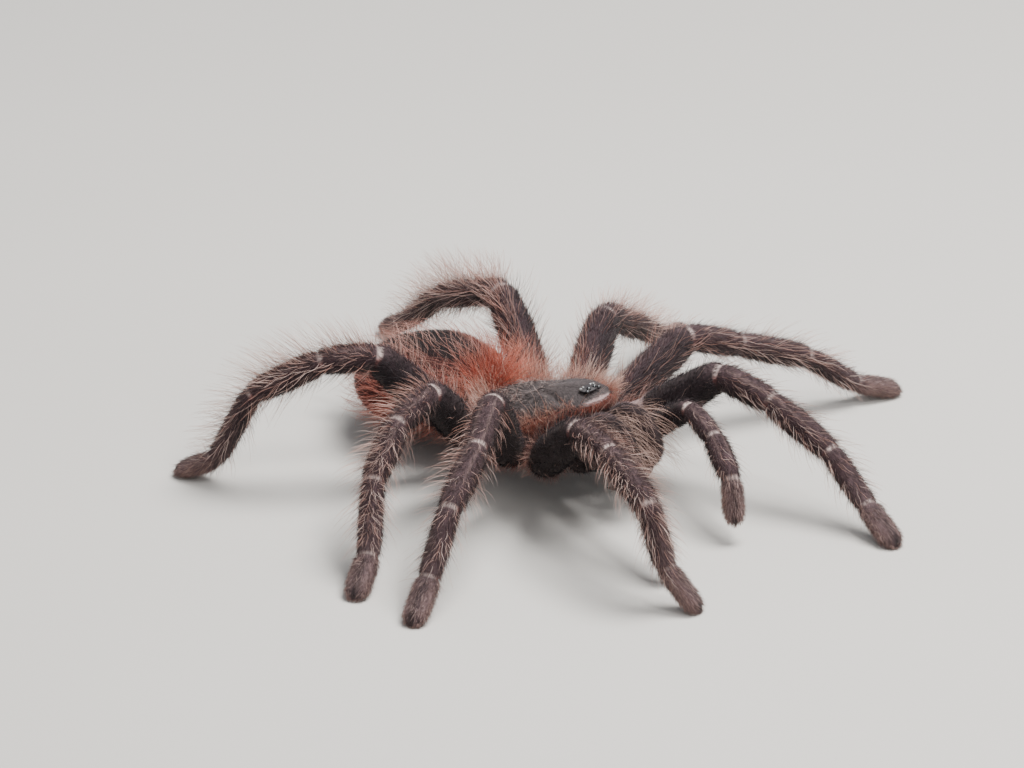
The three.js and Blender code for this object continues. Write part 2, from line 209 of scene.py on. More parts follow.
def make_limb(side, limb, parts):
    """One limb from the edge of the sternum to the tip of its tarsus."""
    nodes = [node_points(f"{side}_{limb}_{part}") for part in parts]
    inner = [joint_between(nodes[k], nodes[k + 1]) for k in range(len(parts) - 1)]
    hip = end_ring(nodes[0], inner[0])
    reach = np.linalg.norm(nodes[-1] - inner[-1], axis=1)
    toe = nodes[-1][reach > TOE_END * reach.max()].mean(axis=0) - inner[-1]
    tip = inner[-1] + unit(toe) * (reach.max() - TIP_INSET)
    outward = hip - body_middle
    root = body_middle + outward * ROOT_SHARE + ROOT_DROP
    joints = [root, hip, *inner, tip]
    waist, belly, breadth = [], [], [1.0]
    for k, points in enumerate(nodes):
        start, end = joints[k + 1], joints[k + 2]
        along = unit(end - start)
        across = unit(np.cross(along, np.array([0.0, 0.0, 1.0])))
        share = (points - start) @ along / np.linalg.norm(end - start)
        offset = (points - start)[(share > MEASURE_FROM) & (share < MEASURE_TO)]
        belly.append(np.abs(offset @ np.cross(across, along)).max() - VELVET_DEPTH)
        breadth.append((np.abs(offset @ across).max() / FLAT_SIDES - VELVET_DEPTH) / belly[-1])
        waist.append(belly[-1] * WAIST)
    spots, stations = rounded_path(joints, ROW_STEP)
    toe_spots = spots[-2] + TOE_ROWS[:, None] * (spots[-1] - spots[-2])
    toe_stations = stations[-2] + TOE_ROWS * (stations[-1] - stations[-2])
    spots = np.vstack([spots[:-1], toe_spots, spots[-1:]])
    stations = np.concatenate([stations[:-1], toe_stations, stations[-1:]])
    belly = [belly[0] * ROOT_BELLY, *belly]
    between = [(a + b) / 2 for a, b in zip(waist[:-1], waist[1:])]
    waist = [belly[0] * ROOT_WAIST, waist[0] * HIP_WAIST, *between]
    waist.append(waist[-1])
    radius = np.zeros(len(stations))
    for i, station in enumerate(stations):
        k = min(int(station), len(belly) - 1)
        share = station - k
        swell = math.sin(math.pi * share**SWELL_LEAN) ** SWELL_FULLNESS
        edge = waist[k] * (1 - share) + waist[k + 1] * share
        radius[i] = edge + (belly[k] - edge) * swell
    length = np.concatenate([[0], np.cumsum(np.linalg.norm(np.diff(spots, axis=0), axis=1))])
    for k in range(2, len(joints) - 1):
        at = np.interp(k, stations, length)
        radius *= 1 - CREASE * np.exp(-(((length - at) / CREASE_WIDTH) ** 2))
    from_tip = np.clip((length[-1] - length) / TOE_TAPER, 0, 1)
    radius *= np.sqrt(1 - (1 - from_tip) ** TOE_BLUNTNESS)
    radius[-1] = TIP_RADIUS
    broad = np.interp(stations - 0.5, np.arange(len(breadth)), breadth)
    form = tube(f"{side}_{limb}", spots, stations, radius, broad)
    form.points[..., 2] = np.maximum(form.points[..., 2], SKIN_CLEARANCE)
    form.joints = joints
    form.side = side
    form.limb = limb
    form.parts = parts
    form.girth = 2 * math.pi * float(np.mean(belly))
    form.length = float(length[-1])
    return form


limbs = []
for side in ("left", "right"):
    limbs.append(make_limb(side, "palp", PALP_PARTS))
    for number in (1, 2, 3, 4):
        limbs.append(make_limb(side, f"leg_{number}", LEG_PARTS))


# ======================================================================================
# The abdomen: a soft egg of leathery skin, carried behind the carapace on a thin waist,
# the pedicel, with a pair of finger-like spinnerets at its rear.
# ======================================================================================
ABDOMEN_COAT = 0.7
ABDOMEN_TILT = 0.13  # the front of the abdomen is carried higher than its rear
ABDOMEN_ROWS, ABDOMEN_COLUMNS = 70, 80
FRONT_NARROWING = 0.14  # how much slimmer the abdomen is at its front
FOLD_DEPTH = 0.012  # of the soft folds round it, as a share of its thickness
POLE_GAP = 0.02  # radians left open at the poles of a turned body, for its end caps
WAIST_ROWS = 14
WAIST_AHEAD, WAIST_BEHIND = 3, 2  # how far the pedicel runs into its neighbours
WAIST_INSET = 0.2
SPINNERET_ROWS = 22
SPINNERET_LENGTH = 4.6
SPINNERET_SUNK = 3  # how far a spinneret runs on into the abdomen
SPINNERET_SPLAY, SPINNERET_RISE, SPINNERET_CURL = 1.4, 1.2, 0.5
SPINNERET_RADIUS = 0.75
SPINNERET_TAPER = 0.35
SPINNERET_RINGS, RING_DEPTH = 3, 0.12  # its three joints


def turned_body(name, middle, half_size, rows, columns, shape=None):
    """A form with its poles ahead and behind, from an ellipsoid that `shape` changes."""
    polar = np.linspace(POLE_GAP, np.pi - POLE_GAP, rows)
    angle = 2 * np.pi * np.arange(columns) / columns
    x = np.repeat(np.cos(polar)[:, None], columns, axis=1)
    y = np.sin(polar)[:, None] * -np.sin(angle)[None]
    z = np.sin(polar)[:, None] * -np.cos(angle)[None]
    if shape:
        x, y, z = shape(x, y, z)
    points = np.stack([x, y, z], axis=2) * half_size + middle
    return Form(name, points, np.linspace(0, 1, rows))


def box_middle(node):
    low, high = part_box(node)
    return np.array([(a + b) / 2 / MM for a, b in zip(low, high)])


def box_half(node):
    low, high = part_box(node)
    return np.array([(b - a) / 2 / MM for a, b in zip(low, high)])


def abdomen_shape(x, y, z):
    fullness = 1 - FRONT_NARROWING * smooth_step(-0.3, 1, x)
    fold = FOLD_DEPTH * np.sin(9 * x + 2 * z) * (1 - x * x)
    rise = ABDOMEN_TILT * x * abdomen_half[0] / abdomen_half[2]
    return x, y * (fullness + fold), z * (fullness + fold) + rise


abdomen_middle = box_middle("abdomen")
abdomen_half = box_half("abdomen") - ABDOMEN_COAT
abdomen_half[2] = math.sqrt(abdomen_half[2] ** 2 - (ABDOMEN_TILT * abdomen_half[0]) ** 2)
abdomen = turned_body("abdomen", abdomen_middle, abdomen_half, ABDOMEN_ROWS, ABDOMEN_COLUMNS,
                      abdomen_shape)

waist_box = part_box("pedicel")
waist_ends = [waist_box[1][0] / MM + WAIST_AHEAD, waist_box[0][0] / MM - WAIST_BEHIND]
waist_height = box_middle("pedicel")[2]
waist_spots = np.array([
    [x, body_middle[1], waist_height] for x in np.linspace(*waist_ends, WAIST_ROWS)
])
waist_radius = np.full(WAIST_ROWS, box_half("pedicel")[2] - WAIST_INSET)
pedicel = tube("pedicel", waist_spots, np.linspace(0, 1, WAIST_ROWS), waist_radius, columns=20)

spinnerets = []
for side, sign in (("left", 1), ("right", -1)):
    points = node_points(f"{side}_spinneret")
    tip = points[points[:, 0].argmin()]
    inward = [SPINNERET_LENGTH + SPINNERET_SUNK, -sign * SPINNERET_SPLAY, -SPINNERET_RISE]
    root = tip + np.array(inward)
    share = np.linspace(0, 1, SPINNERET_ROWS)
    spots = root + (tip - root) * share[:, None]
    spots[:, 2] += SPINNERET_CURL * share**2
    rings = np.abs(np.sin(share * SPINNERET_RINGS * np.pi))
    radius = SPINNERET_RADIUS * (1 - SPINNERET_TAPER * share) * (1 - RING_DEPTH * rings)
    radius *= np.sqrt(1 - np.clip((share - 0.9) / 0.1, 0, 0.99) ** 2)
    spinnerets.append(tube(f"{side}_spinneret", spots, share, radius, columns=18))


# ======================================================================================
# The underside of the front body: the sternum, a shield-shaped plate, sits between the
# roots of the legs, with the soft flesh that the carapace covers above it.
# ======================================================================================
STERNUM_HALF = np.array([12.0, 8.6, 3.3])
STERNUM_MIDDLE = body_middle + np.array([0, 0, 9.9])
STERNUM_NARROWING, STERNUM_FLATNESS = 0.16, 0.82
HEAD_HALF = np.array([6.4, 6.6, 4.6])
HEAD_MIDDLE = body_middle + np.array([5.3, 0, 13.4])


def sternum_shape(x, y, z):
    narrow = 1 - STERNUM_NARROWING * smooth_step(0.2, 1, np.abs(x))
    flat = np.where(z < 0, STERNUM_FLATNESS, 1.0)
    return x, y * narrow, z * flat


sternum = turned_body("sternum", STERNUM_MIDDLE, STERNUM_HALF, 40, 48, sternum_shape)
head = turned_body("head", HEAD_MIDDLE, HEAD_HALF, 30, 36)

# ======================================================================================
# The chelicerae: the two deep, blunt jaw blocks ahead of the eyes. Each bulges forward,
# droops, and carries a fang folded back beneath it.
# ======================================================================================
CHELICERA_COAT = 0.55
CHELICERA_BULGE = 0.05  # how much thicker a jaw is at its front
CHELICERA_DROOP = 0.24  # how far its front hangs, over its height
CHELICERA_BEND = 0.05
CHELICERA_HEIGHT = 0.98  # over that of the frame's own jaw
chelicerae = []


def chelicera_shape(x, y, z):
    bulge = 1 + CHELICERA_BULGE * x
    return x, y * bulge, z * bulge - CHELICERA_DROOP * x - CHELICERA_BEND * x * x


for side in ("left", "right"):
    jaw = f"{side}_chelicera"
    half = box_half(jaw) - CHELICERA_COAT
    half[2] = half[2] * CHELICERA_HEIGHT
    chelicerae.append(turned_body(jaw, box_middle(jaw), half, 44, 40, chelicera_shape))

# ======================================================================================
# The skin: all the flesh as one closed surface, velvety and nearly black-brown, with pale
# rings of bare membrane and short pink hair where the limbs bend.
# ======================================================================================


def linear(hex_colour):
    """An sRGB hex colour as linear red, green and blue."""
    parts = [int(hex_colour[i : i + 2], 16) / 255 for i in (1, 3, 5)]
    return np.array([c / 12.92 if c <= 0.04045 else ((c + 0.055) / 1.055) ** 2.4 for c in parts])


def mix(a, b, share):
    share = np.asarray(share)[..., None]
    return a * (1 - share) + b * share


DARK_VELVET = linear("#352528")
# Black velvet, which is also the painted shade on the undersides of the limbs.
BLACK_VELVET_AND_PAINTED_SHADE = linear("#1b1417")
# Brown velvet, partly painted light on the tops of the limbs from the patella on.
BROWN_VELVET_AND_PAINTED_LIGHT = linear("#4c3b3d")
FOOT_VELVET = linear("#4f3f40")
PALE_RING = linear("#c6b1aa")
PINK_MEMBRANE = linear("#86524d")
BARE_MEMBRANE = linear("#96807d")
FOOT_SIDE = linear("#6a5554")
FOOT_MIDDLE = linear("#332829")
RING_WIDTH = 0.24  # how far a pale ring reaches to each side of its joint, in mm
RING_STRENGTH = [1.0, 0.85, 0.8, 0.6]  # the ring at the knee shows most
STRIPE_PALE = linear("#7c6761")
STRIPE_OFFSET, STRIPE_WIDTH = 0.075, 0.014  # of the two thin stripes on top, in turns
FOOT_BAND = 0.09  # half the width of the dark band on top of a foot, in turns
ABDOMEN_BLACK = linear("#1f1617")
STERNUM_BLACK = linear("#1a1314")
JAW_BROWN = linear("#3a2e2f")
FRONT_LIMBS = ("palp", "leg_1")  # their femora are black velvet all round
PILE_SPACING = 0.16  # mm between the short hairs that the bump stands for
BUMP_HEIGHT = 0.12


def topside(turn):
    """From 0 on the underside of a form to 1 on its top."""
    return 0.5 - 0.5 * np.cos(2 * np.pi * turn)


def forward_side(form, turn):
    """From -1 on the face of a limb that looks back to 1 on the one that looks ahead."""
    return np.sin(2 * np.pi * turn) * (1 if form.side == "left" else -1)


def leg_station(form, station):
    """Station as on a leg: a palp has no metatarsus, so its tarsus counts from 5 to 6."""
    return station + (station > 4) * (len(form.parts) < len(LEG_PARTS))


def limb_tone(form, station, turn):
    """The colour of a limb's coat, with painted shade on its underside and painted light on its
    top:
    station along it, and turn round it from the underside.
    """
    station, turn = np.broadcast_arrays(np.asarray(station, float), np.asarray(turn, float))
    top = topside(turn)
    # Painted shade and light: black on the underside, dark brown on top.
    tone = mix(BLACK_VELVET_AND_PAINTED_SHADE, DARK_VELVET, smooth_step(0.1, 0.7, top))
    all_round = form.limb in FRONT_LIMBS
    black = 1.0 if all_round else smooth_step(0, 0.7, forward_side(form, turn))
    tone = mix(tone, BLACK_VELVET_AND_PAINTED_SHADE, 0.7 * black * (station < 2))
    # From the patella on, the top is paler brown: partly the colour of these segments, partly
    # painted light on top.
    tone = mix(tone, BROWN_VELVET_AND_PAINTED_LIGHT, 0.6 * smooth_step(0.6, 1.0, top) * (station > 1.9))
    stripe = np.exp(-(((np.abs(turn - 0.5) - STRIPE_OFFSET) / STRIPE_WIDTH) ** 2))
    stripe = stripe * smooth_step(2.08, 2.2, station) * (1 - smooth_step(3.4, 3.8, station))
    tone = mix(tone, STRIPE_PALE, 0.5 * stripe)
    at = leg_station(form, station)
    tone = mix(tone, FOOT_VELVET, 0.6 * smooth_step(4.3, 5.0, at))
    foot = mix(FOOT_SIDE, FOOT_MIDDLE, np.exp(-(((turn - 0.5) / FOOT_BAND) ** 2)))
    tone = mix(tone, foot, 0.8 * smooth_step(5.0, 5.3, at))
    tone = mix(tone, BLACK_VELVET_AND_PAINTED_SHADE, 0.6 * smooth_step(5.75, 5.95, at))
    tone = mix(tone, BARE_MEMBRANE, 0.85 * bare_trochanter(form, station, top))
    membrane = mix(PINK_MEMBRANE, PALE_RING, smooth_step(0.55, 0.85, top))
    return mix(tone, membrane, joint_ring(form, station, top))


def bare_trochanter(form, station, top):
    """The top of the root of the first legs is a bare, pale patch."""
    window = smooth_step(0.55, 0.75, station) * (1 - smooth_step(1.0, 1.1, station))
    return (form.limb == "leg_1") * window * smooth_step(0.35, 0.6, top)


def joint_ring(form, station, top, width=RING_WIDTH):
    """How strongly the pale ring at the nearest joint shows, from 0 to 1."""
    ring = np.zeros_like(station)
    for k in range(2, len(form.parts) + 1):
        before = np.linalg.norm(form.joints[k] - form.joints[k - 1])
        after = np.linalg.norm(form.joints[k + 1] - form.joints[k])
        off = np.where(station < k, (k - station) * before, (station - k) * after)
        ring = np.maximum(ring, RING_STRENGTH[k - 2] * np.exp(-((off / width) ** 2)))
    return ring * (0.1 + 0.9 * smooth_step(0.3, 0.75, top))


def form_tone(form, station, turn):
    """The colour of any form of flesh."""
    if hasattr(form, "joints"):
        return limb_tone(form, station, turn)
    tones = {"abdomen": ABDOMEN_BLACK, "chelicera": JAW_BROWN}
    colour = tones.get(form.name.split("_")[-1], STERNUM_BLACK)
    return np.broadcast_to(colour, np.broadcast(station, turn).shape + (3,)).copy()


def mesh_object(name, points, faces, tint=None, grain=None):
    """A Blender object from points in millimetres, with a colour and a UV for each point."""
    mesh = bpy.data.meshes.new(name)
    mesh.from_pydata((points * MM).tolist(), [], faces)
    mesh.update()
    mesh.polygons.foreach_set("use_smooth", np.ones(len(mesh.polygons), bool))
    corner = np.zeros(len(mesh.loops), np.int32)
    mesh.loops.foreach_get("vertex_index", corner)
    if tint is not None:
        layer = mesh.color_attributes.new("Tint", "FLOAT_COLOR", "POINT")
        layer.data.foreach_set("color", np.column_stack([tint, np.ones(len(tint))]).ravel())
    if grain is not None:
        uv = mesh.uv_layers.new(name="Grain")
        uv.data.foreach_set("uv", grain[corner].ravel())
    piece = bpy.data.objects.new(name, mesh)
    bpy.context.scene.collection.objects.link(piece)
    return piece


def signed_volume(piece):
    mesh = piece.data
    mesh.calc_loop_triangles()
    total = 0.0
    for triangle in mesh.loop_triangles:
        a, b, c = (mesh.vertices[i].co for i in triangle.vertices)
        total += a.dot(b.cross(c))
    return total


def shell(form):
    """A form as a closed mesh that faces outward, with its colour and with its lengths in mm
    as a UV map."""
    rows, columns, _ = form.points.shape
    points = form.points.reshape(-1, 3)
    turn = np.arange(columns) / columns
    tint = form_tone(form, form.station[:, None], turn[None]).reshape(-1, 3)
    steps = np.linalg.norm(np.diff(form.points.mean(axis=1), axis=0), axis=1)
    run = np.concatenate([[0], np.cumsum(steps)])
    girth = np.linalg.norm(np.diff(form.points, axis=1), axis=2).sum(axis=1).mean()
    fold = 1 - np.abs(2 * turn - 1)
    grain = np.broadcast_arrays(fold[None] * girth / 2, run[:, None])
    grain = np.stack(grain, axis=2).reshape(-1, 2)
    faces = []
    for row in range(rows - 1):
        for column in range(columns):
            a, b = row * columns + column, row * columns + (column + 1) % columns
            faces.append((a, b, b + columns, a + columns))
    for row, order in ((0, -1), (rows - 1, 1)):
        pole = len(points)
        points = np.vstack([points, form.points[row].mean(axis=0)])
        tint = np.vstack([tint, tint[row * columns]])
        grain = np.vstack([grain, grain[row * columns]])
        for column in range(columns):
            pair = (row * columns + column, row * columns + (column + 1) % columns)
            faces.append((*pair[::order], pole))
    piece = mesh_object(form.name, points, faces, tint, grain)
    if signed_volume(piece) < 0:
        piece.data.flip_normals()
    return piece


flesh = [abdomen, pedicel, sternum, head, *spinnerets, *chelicerae, *limbs]
shells = [shell(form) for form in flesh]
skin = shells[0]
others = bpy.data.collections.new("others")
for piece in shells[1:]:
    others.objects.link(piece)
union = skin.modifiers.new("union", "BOOLEAN")
union.operation = "UNION"
union.operand_type = "COLLECTION"
union.collection = others
union.solver = "MANIFOLD"
bpy.context.view_layer.update()
joined = bpy.data.meshes.new_from_object(
    skin.evaluated_get(bpy.context.evaluated_depsgraph_get())
)
skin.modifiers.clear()
skin.data = joined
skin.name = "skin"
for piece in shells[1:]:
    bpy.data.objects.remove(piece)
bpy.data.collections.remove(others)


def add_node(tree, kind, settings=None, links=None):
    """Adds a node: settings by attribute or socket name, links by socket name."""
    node = tree.nodes.new(kind)
    for key, value in (settings or {}).items():
        if hasattr(node, key):
            setattr(node, key, value)
        else:
            node.inputs[key].default_value = value
    for key, source in (links or {}).items():
        tree.links.new(source, node.inputs[key])
    return node


def new_material(name):
    material = bpy.data.materials.new(name)
    material.use_nodes = True
    material.node_tree.nodes.clear()
    return material, material.node_tree


def velvet(name, rough, bump):
    """Dense short hair on cuticle: dull, with a soft bright edge and a fine combed grain."""
    material, tree = new_material(name)
    tint = add_node(tree, "ShaderNodeAttribute", {"attribute_name": "Tint"})
    grain = add_node(tree, "ShaderNodeUVMap", {"uv_map": "Grain"})
    comb = add_node(tree, "ShaderNodeMapping",
                    {"Scale": (1 / PILE_SPACING, 0.22 / PILE_SPACING, 1)},
                    {"Vector": grain.outputs["UV"]})
    hairs = add_node(tree, "ShaderNodeTexNoise", {"Scale": 1.0, "Detail": 3.0, "Roughness": 0.6},
                     {"Vector": comb.outputs["Vector"]})
    clumps = add_node(tree, "ShaderNodeTexNoise", {"Scale": 0.55, "Detail": 2.0},
                      {"Vector": grain.outputs["UV"]})
    shade = add_node(tree, "ShaderNodeMapRange",
                     {"From Min": 0.3, "From Max": 0.7, "To Min": 0.55, "To Max": 1.5},
                     {"Value": hairs.outputs["Fac"]})
    patch = add_node(tree, "ShaderNodeMapRange",
                     {"From Min": 0.3, "From Max": 0.7, "To Min": 0.8, "To Max": 1.2},
                     {"Value": clumps.outputs["Fac"]})
    both = add_node(tree, "ShaderNodeMath", {"operation": "MULTIPLY"})
    tree.links.new(shade.outputs["Result"], both.inputs[0])
    tree.links.new(patch.outputs["Result"], both.inputs[1])
    colour = add_node(tree, "ShaderNodeVectorMath", {"operation": "SCALE"},
                      {0: tint.outputs["Color"], "Scale": both.outputs["Value"]})
    raised = add_node(tree, "ShaderNodeBump", {"Strength": bump, "Distance": BUMP_HEIGHT * MM},
                      {"Height": hairs.outputs["Fac"]})
    surface = add_node(tree, "ShaderNodeBsdfPrincipled",
                       {"Roughness": rough, "Sheen Weight": 0.12, "Sheen Roughness": 0.5,
                        "Sheen Tint": (0.75, 0.6, 0.52, 1), "Specular IOR Level": 0.25},
                       {"Base Color": colour.outputs["Vector"],
                        "Normal": raised.outputs["Normal"]})
    add_node(tree, "ShaderNodeOutputMaterial", {}, {"Surface": surface.outputs["BSDF"]})
    return material


skin_velvet = velvet("short_velvet_on_cuticle", 0.85, 0.7)
skin.data.materials.clear()
skin.data.materials.append(skin_velvet)
skin_nodes = ["sternum_and_coxae", "pedicel", "abdomen"]
for side in ("left", "right"):
    skin_nodes += [f"{side}_chelicera", f"{side}_spinneret"]
for form in limbs:
    skin_nodes += [f"{form.name}_{part}" for part in form.parts]
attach(skin, "root")
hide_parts(*skin_nodes)
skin_tree = BVHTree.FromPolygons(
    [v.co / MM for v in skin.data.vertices], [tuple(p.vertices) for p in skin.data.polygons]
)

# ======================================================================================
# The carapace: a thin, hard, domed plate over the front body, highest over the head, with
# grooves that run out from a pit in its middle to its rim, and a low lip all round.
# ======================================================================================
CARAPACE_COAT = 0.35
CARAPACE_RINGS, CARAPACE_COLUMNS = 44, 120
GROOVES = 4  # on each side, one for each leg
FOVEA_BACK = 3.5  # the pit lies this far behind the middle of the plate
FRONT_RISE = 6.2  # how much higher the rim is below the eyes than along the sides
BACK_DROP = 4.2  # how much lower the crest is at the back than over the head
CREST_OVER_TOP = 0.45
HEAD_BLUNTNESS = 0.62  # below 1 makes the plate's front broad instead of pointed
FRONT_TAPER, REAR_TAPER = 0.36, 0.08  # how much narrower the plate is at its ends
PIT_DEPTH, PIT_WIDTH = 0.9, 1.3
GROOVE_DEPTH, GROOVE_SKEW = 0.18, 0.5
HEAD_GROOVE_DEPTH, HEAD_GROOVE_WIDTH = 0.35, 0.8  # the V between the head and the rest
LIP_HEIGHT, LIP_WIDTH = 0.25, 0.02
PLATE_THICKNESS = 0.7
PLATE_GREY = linear("#2f2a2b")
PLATE_PALE = linear("#574d4b")

plate_low, plate_high = (np.array(corner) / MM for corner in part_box("carapace"))
plate_middle = (plate_low + plate_high) / 2
plate_half = (plate_high - plate_low) / 2 - np.array([CARAPACE_COAT, CARAPACE_COAT, 0])


def groove(angle):
    """A wave round the pit that peaks along each groove."""
    return np.cos(GROOVES * 2 * angle * 0.98 + GROOVE_SKEW)


def rim_height(along):
    return plate_low[2] + FRONT_RISE * smooth_step(1, 12.5, along)


def plate_point(share, angle):
    """A point of the plate's top: share 0 is its middle and 1 its rim; angle 0 is ahead."""
    x, y = share * np.cos(angle), share * np.sin(angle)
    x = np.where(x > 0, np.abs(x) ** HEAD_BLUNTNESS, x)
    dome = np.sqrt(np.maximum(1 - share**2, 0)) ** (0.62 + 0.2 * smooth_step(0.1, 0.6, x))
    taper = 1 - FRONT_TAPER * smooth_step(-0.1, 1, x) - REAR_TAPER * smooth_step(0.2, 1, -x)
    along = plate_half[0] * x
    sideways = plate_half[1] * y * taper
    head_top = plate_high[2] + CREST_OVER_TOP - CARAPACE_COAT
    crest = head_top - BACK_DROP * (1 - smooth_step(-7, 9, along))
    rim = rim_height(along)
    height = (crest - rim) * dome
    from_pit_x, from_pit_y = along + FOVEA_BACK, sideways
    pit_distance = np.hypot(from_pit_x, from_pit_y * 0.6)
    height -= PIT_DEPTH * np.exp(-((pit_distance / PIT_WIDTH) ** 2)) * dome
    pit_angle = np.arctan2(from_pit_y, from_pit_x)
    ray = groove(pit_angle) ** 12
    between = smooth_step(0.8, 3, pit_distance) * (1 - smooth_step(0.72, 0.95, share))
    height -= GROOVE_DEPTH * ray * between
    head_edge = np.abs(np.abs(from_pit_y) - (1.2 + 0.42 * from_pit_x))
    fade = smooth_step(1, 4, from_pit_x) * (1 - smooth_step(0.7, 0.92, share))
    height -= HEAD_GROOVE_DEPTH * np.exp(-((head_edge / HEAD_GROOVE_WIDTH) ** 2)) * fade
    lip = LIP_HEIGHT * np.exp(-(((share - 0.985) / LIP_WIDTH) ** 2))
    top = [plate_middle[0] + along, plate_middle[1] + sideways, rim + height + lip]
    return np.stack(top, axis=-1)


share_rows = np.sin(np.linspace(0.01, 1, CARAPACE_RINGS) * np.pi / 2)
angles = 2 * np.pi * np.arange(CARAPACE_COLUMNS) / CARAPACE_COLUMNS
plate_top = plate_point(share_rows[:, None], angles[None])
carapace_form = Form("carapace_hair", plate_top, share_rows)
under = plate_top[::-1].copy()
inset = (under - plate_middle) * np.array([0.97, 0.97, 1]) + plate_middle
lowest = rim_height(under[..., 0] - plate_middle[0]) - 0.1
inset[..., 2] = np.maximum(under[..., 2] - PLATE_THICKNESS, lowest)
plate_grid = np.concatenate([plate_top, inset])
plate_form = Form("carapace", plate_grid, np.linspace(0, 1, len(plate_grid)))
plate_form.station = np.concatenate([share_rows, share_rows[::-1]])


def clypeus(points, share):
    """1 on the pale bare strip between the eyes and the front rim."""
    ahead = points[..., 0] - plate_middle[0]
    return smooth_step(10.9, 11.6, ahead) * smooth_step(0.66, 0.84, share)


def plate_tone(points, share):
    """Grey horn, paler towards the rim, with painted shade along the grooves."""
    off = points - (plate_middle - np.array([FOVEA_BACK, 0, 0]))
    angle = np.arctan2(off[..., 1], off[..., 0])
    ray = groove(angle) ** 6
    tone = mix(PLATE_GREY, PLATE_PALE, 0.3 + 0.3 * smooth_step(0.75, 1, share))
    # Painted shade: the abdomen's black laid along the grooves.
    tone = mix(tone, ABDOMEN_BLACK, 0.25 * ray * (1 - smooth_step(0.8, 0.95, share)))
    return mix(tone, BARE_MEMBRANE, clypeus(points, share))


carapace = shell(plate_form)
tone = plate_tone(plate_grid, plate_form.station[:, None]).reshape(-1, 3)
tone = np.vstack([tone, tone[:1], tone[-1:]])
tint = np.column_stack([tone, np.ones(len(tone))])
carapace.data.color_attributes["Tint"].data.foreach_set("color", tint.ravel())
carapace.name = "carapace_plate"
carapace.data.materials.append(velvet("hairy_horn_plate", 0.7, 0.5))
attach(carapace, "root")
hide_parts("carapace")

# ======================================================================================
# The eyes: eight small glossy lenses set in a low black mound behind the jaws. The front
# row is dark, with the two largest in its middle, and the row behind it is pale, partly its
# own pearl and partly painted glints. The mound is held just clear of the plate below it,
# by 0.1 to 0.7 mm, and ought to sit in it.
# ======================================================================================
MOUND_BLACK = linear("#2b2627")
LENS_BLACK = linear("#0b090a")
# Pale, partly as the lenses' own pearl and partly as painted glints.
LENS_PEARL_AND_GLINT = linear("#6e6b68")
MOUND_SUNK = 0.3  # how far the mound's middle is below that of the frame's own mound
MOUND_FLATNESS = 0.72
EYE_SUNK = 0.2  # a lens's middle is this share of its radius below the mound's surface
DARK_EYES = 2  # how many eyes of a side, from the first of the list, are dark
mound_middle, mound_half = box_middle("eye_tubercle"), box_half("eye_tubercle")
EYES = [
    # ahead of the mound's middle, to the side, radius
    (0.6, 0.75, 0.46),
    (1.0, 1.5, 0.4),
    (-0.45, 1.7, 0.36),
    (-0.5, 1.0, 0.3),
]


def glossy(name, colour, rough, coat):
    """A clear hard lens or horn: dark inside, with a sharp reflection on top."""
    material, tree = new_material(name)
    spots = add_node(tree, "ShaderNodeTexCoord")
    cloud = add_node(tree, "ShaderNodeTexNoise", {"Scale": 1 / (0.9 * MM), "Detail": 2.0},
                     {"Vector": spots.outputs["Object"]})
    ramp = add_node(tree, "ShaderNodeMix", {"data_type": "RGBA"})
    tree.links.new(cloud.outputs["Fac"], ramp.inputs[0])
    ramp.inputs[6].default_value = (*colour * 0.7, 1)
    ramp.inputs[7].default_value = (*colour * 1.3, 1)
    surface = add_node(tree, "ShaderNodeBsdfPrincipled",
                       {"Roughness": rough, "IOR": 1.5,
                        "Coat Weight": coat, "Coat Roughness": 0.04},
                       {"Base Color": ramp.outputs[2]})
    add_node(tree, "ShaderNodeOutputMaterial", {}, {"Surface": surface.outputs["BSDF"]})
    return material


def ball(name, middle, half_size, rows=18, columns=24):
    return shell(turned_body(name, np.asarray(middle), np.asarray(half_size), rows, columns))


mound_place = mound_middle - [0, 0, MOUND_SUNK]
mound = ball("eye_mound", mound_place, mound_half * [1.0, 1.0, MOUND_FLATNESS], 24, 36)
mound.data.materials.append(glossy("black_horn_mound", MOUND_BLACK, 0.6, 0.0))
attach(mound, "root")
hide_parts("eye_tubercle")
eye_gloss = glossy("dark_lens", LENS_BLACK, 0.08, 1.0)
pearl_and_glint_gloss = glossy("pearly_lens", LENS_PEARL_AND_GLINT, 0.12, 1.0)
for number, (ahead, aside, radius) in enumerate(EYES, start=1):
    lift = math.sqrt(max(0.05, 1 - (ahead / mound_half[0]) ** 2 - (aside / mound_half[1]) ** 2))
    for side, sign in (("left", 1), ("right", -1)):
        height = -MOUND_SUNK + mound_half[2] * MOUND_FLATNESS * lift - radius * EYE_SUNK
        spot = mound_middle + [ahead, sign * aside, height]
        eye = ball(f"{side}_eye_{number}", spot, [radius] * 3)
        eye.data.materials.append(eye_gloss if number <= DARK_EYES else pearl_and_glint_gloss)
        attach(eye, "root")

# ======================================================================================
# The fangs: two curved spikes of polished black horn, thick at the root and sharp at the
# tip, folded back under the jaws.
# ======================================================================================
FANG_BLACK = linear("#1a0d0c")
FANG_ROWS = 30
FANG_RADIUS = 0.95
FANG_SWING = 1.45  # radians from its root to its tip
FANG_SHARPNESS = 0.6  # how fast it narrows to its tip

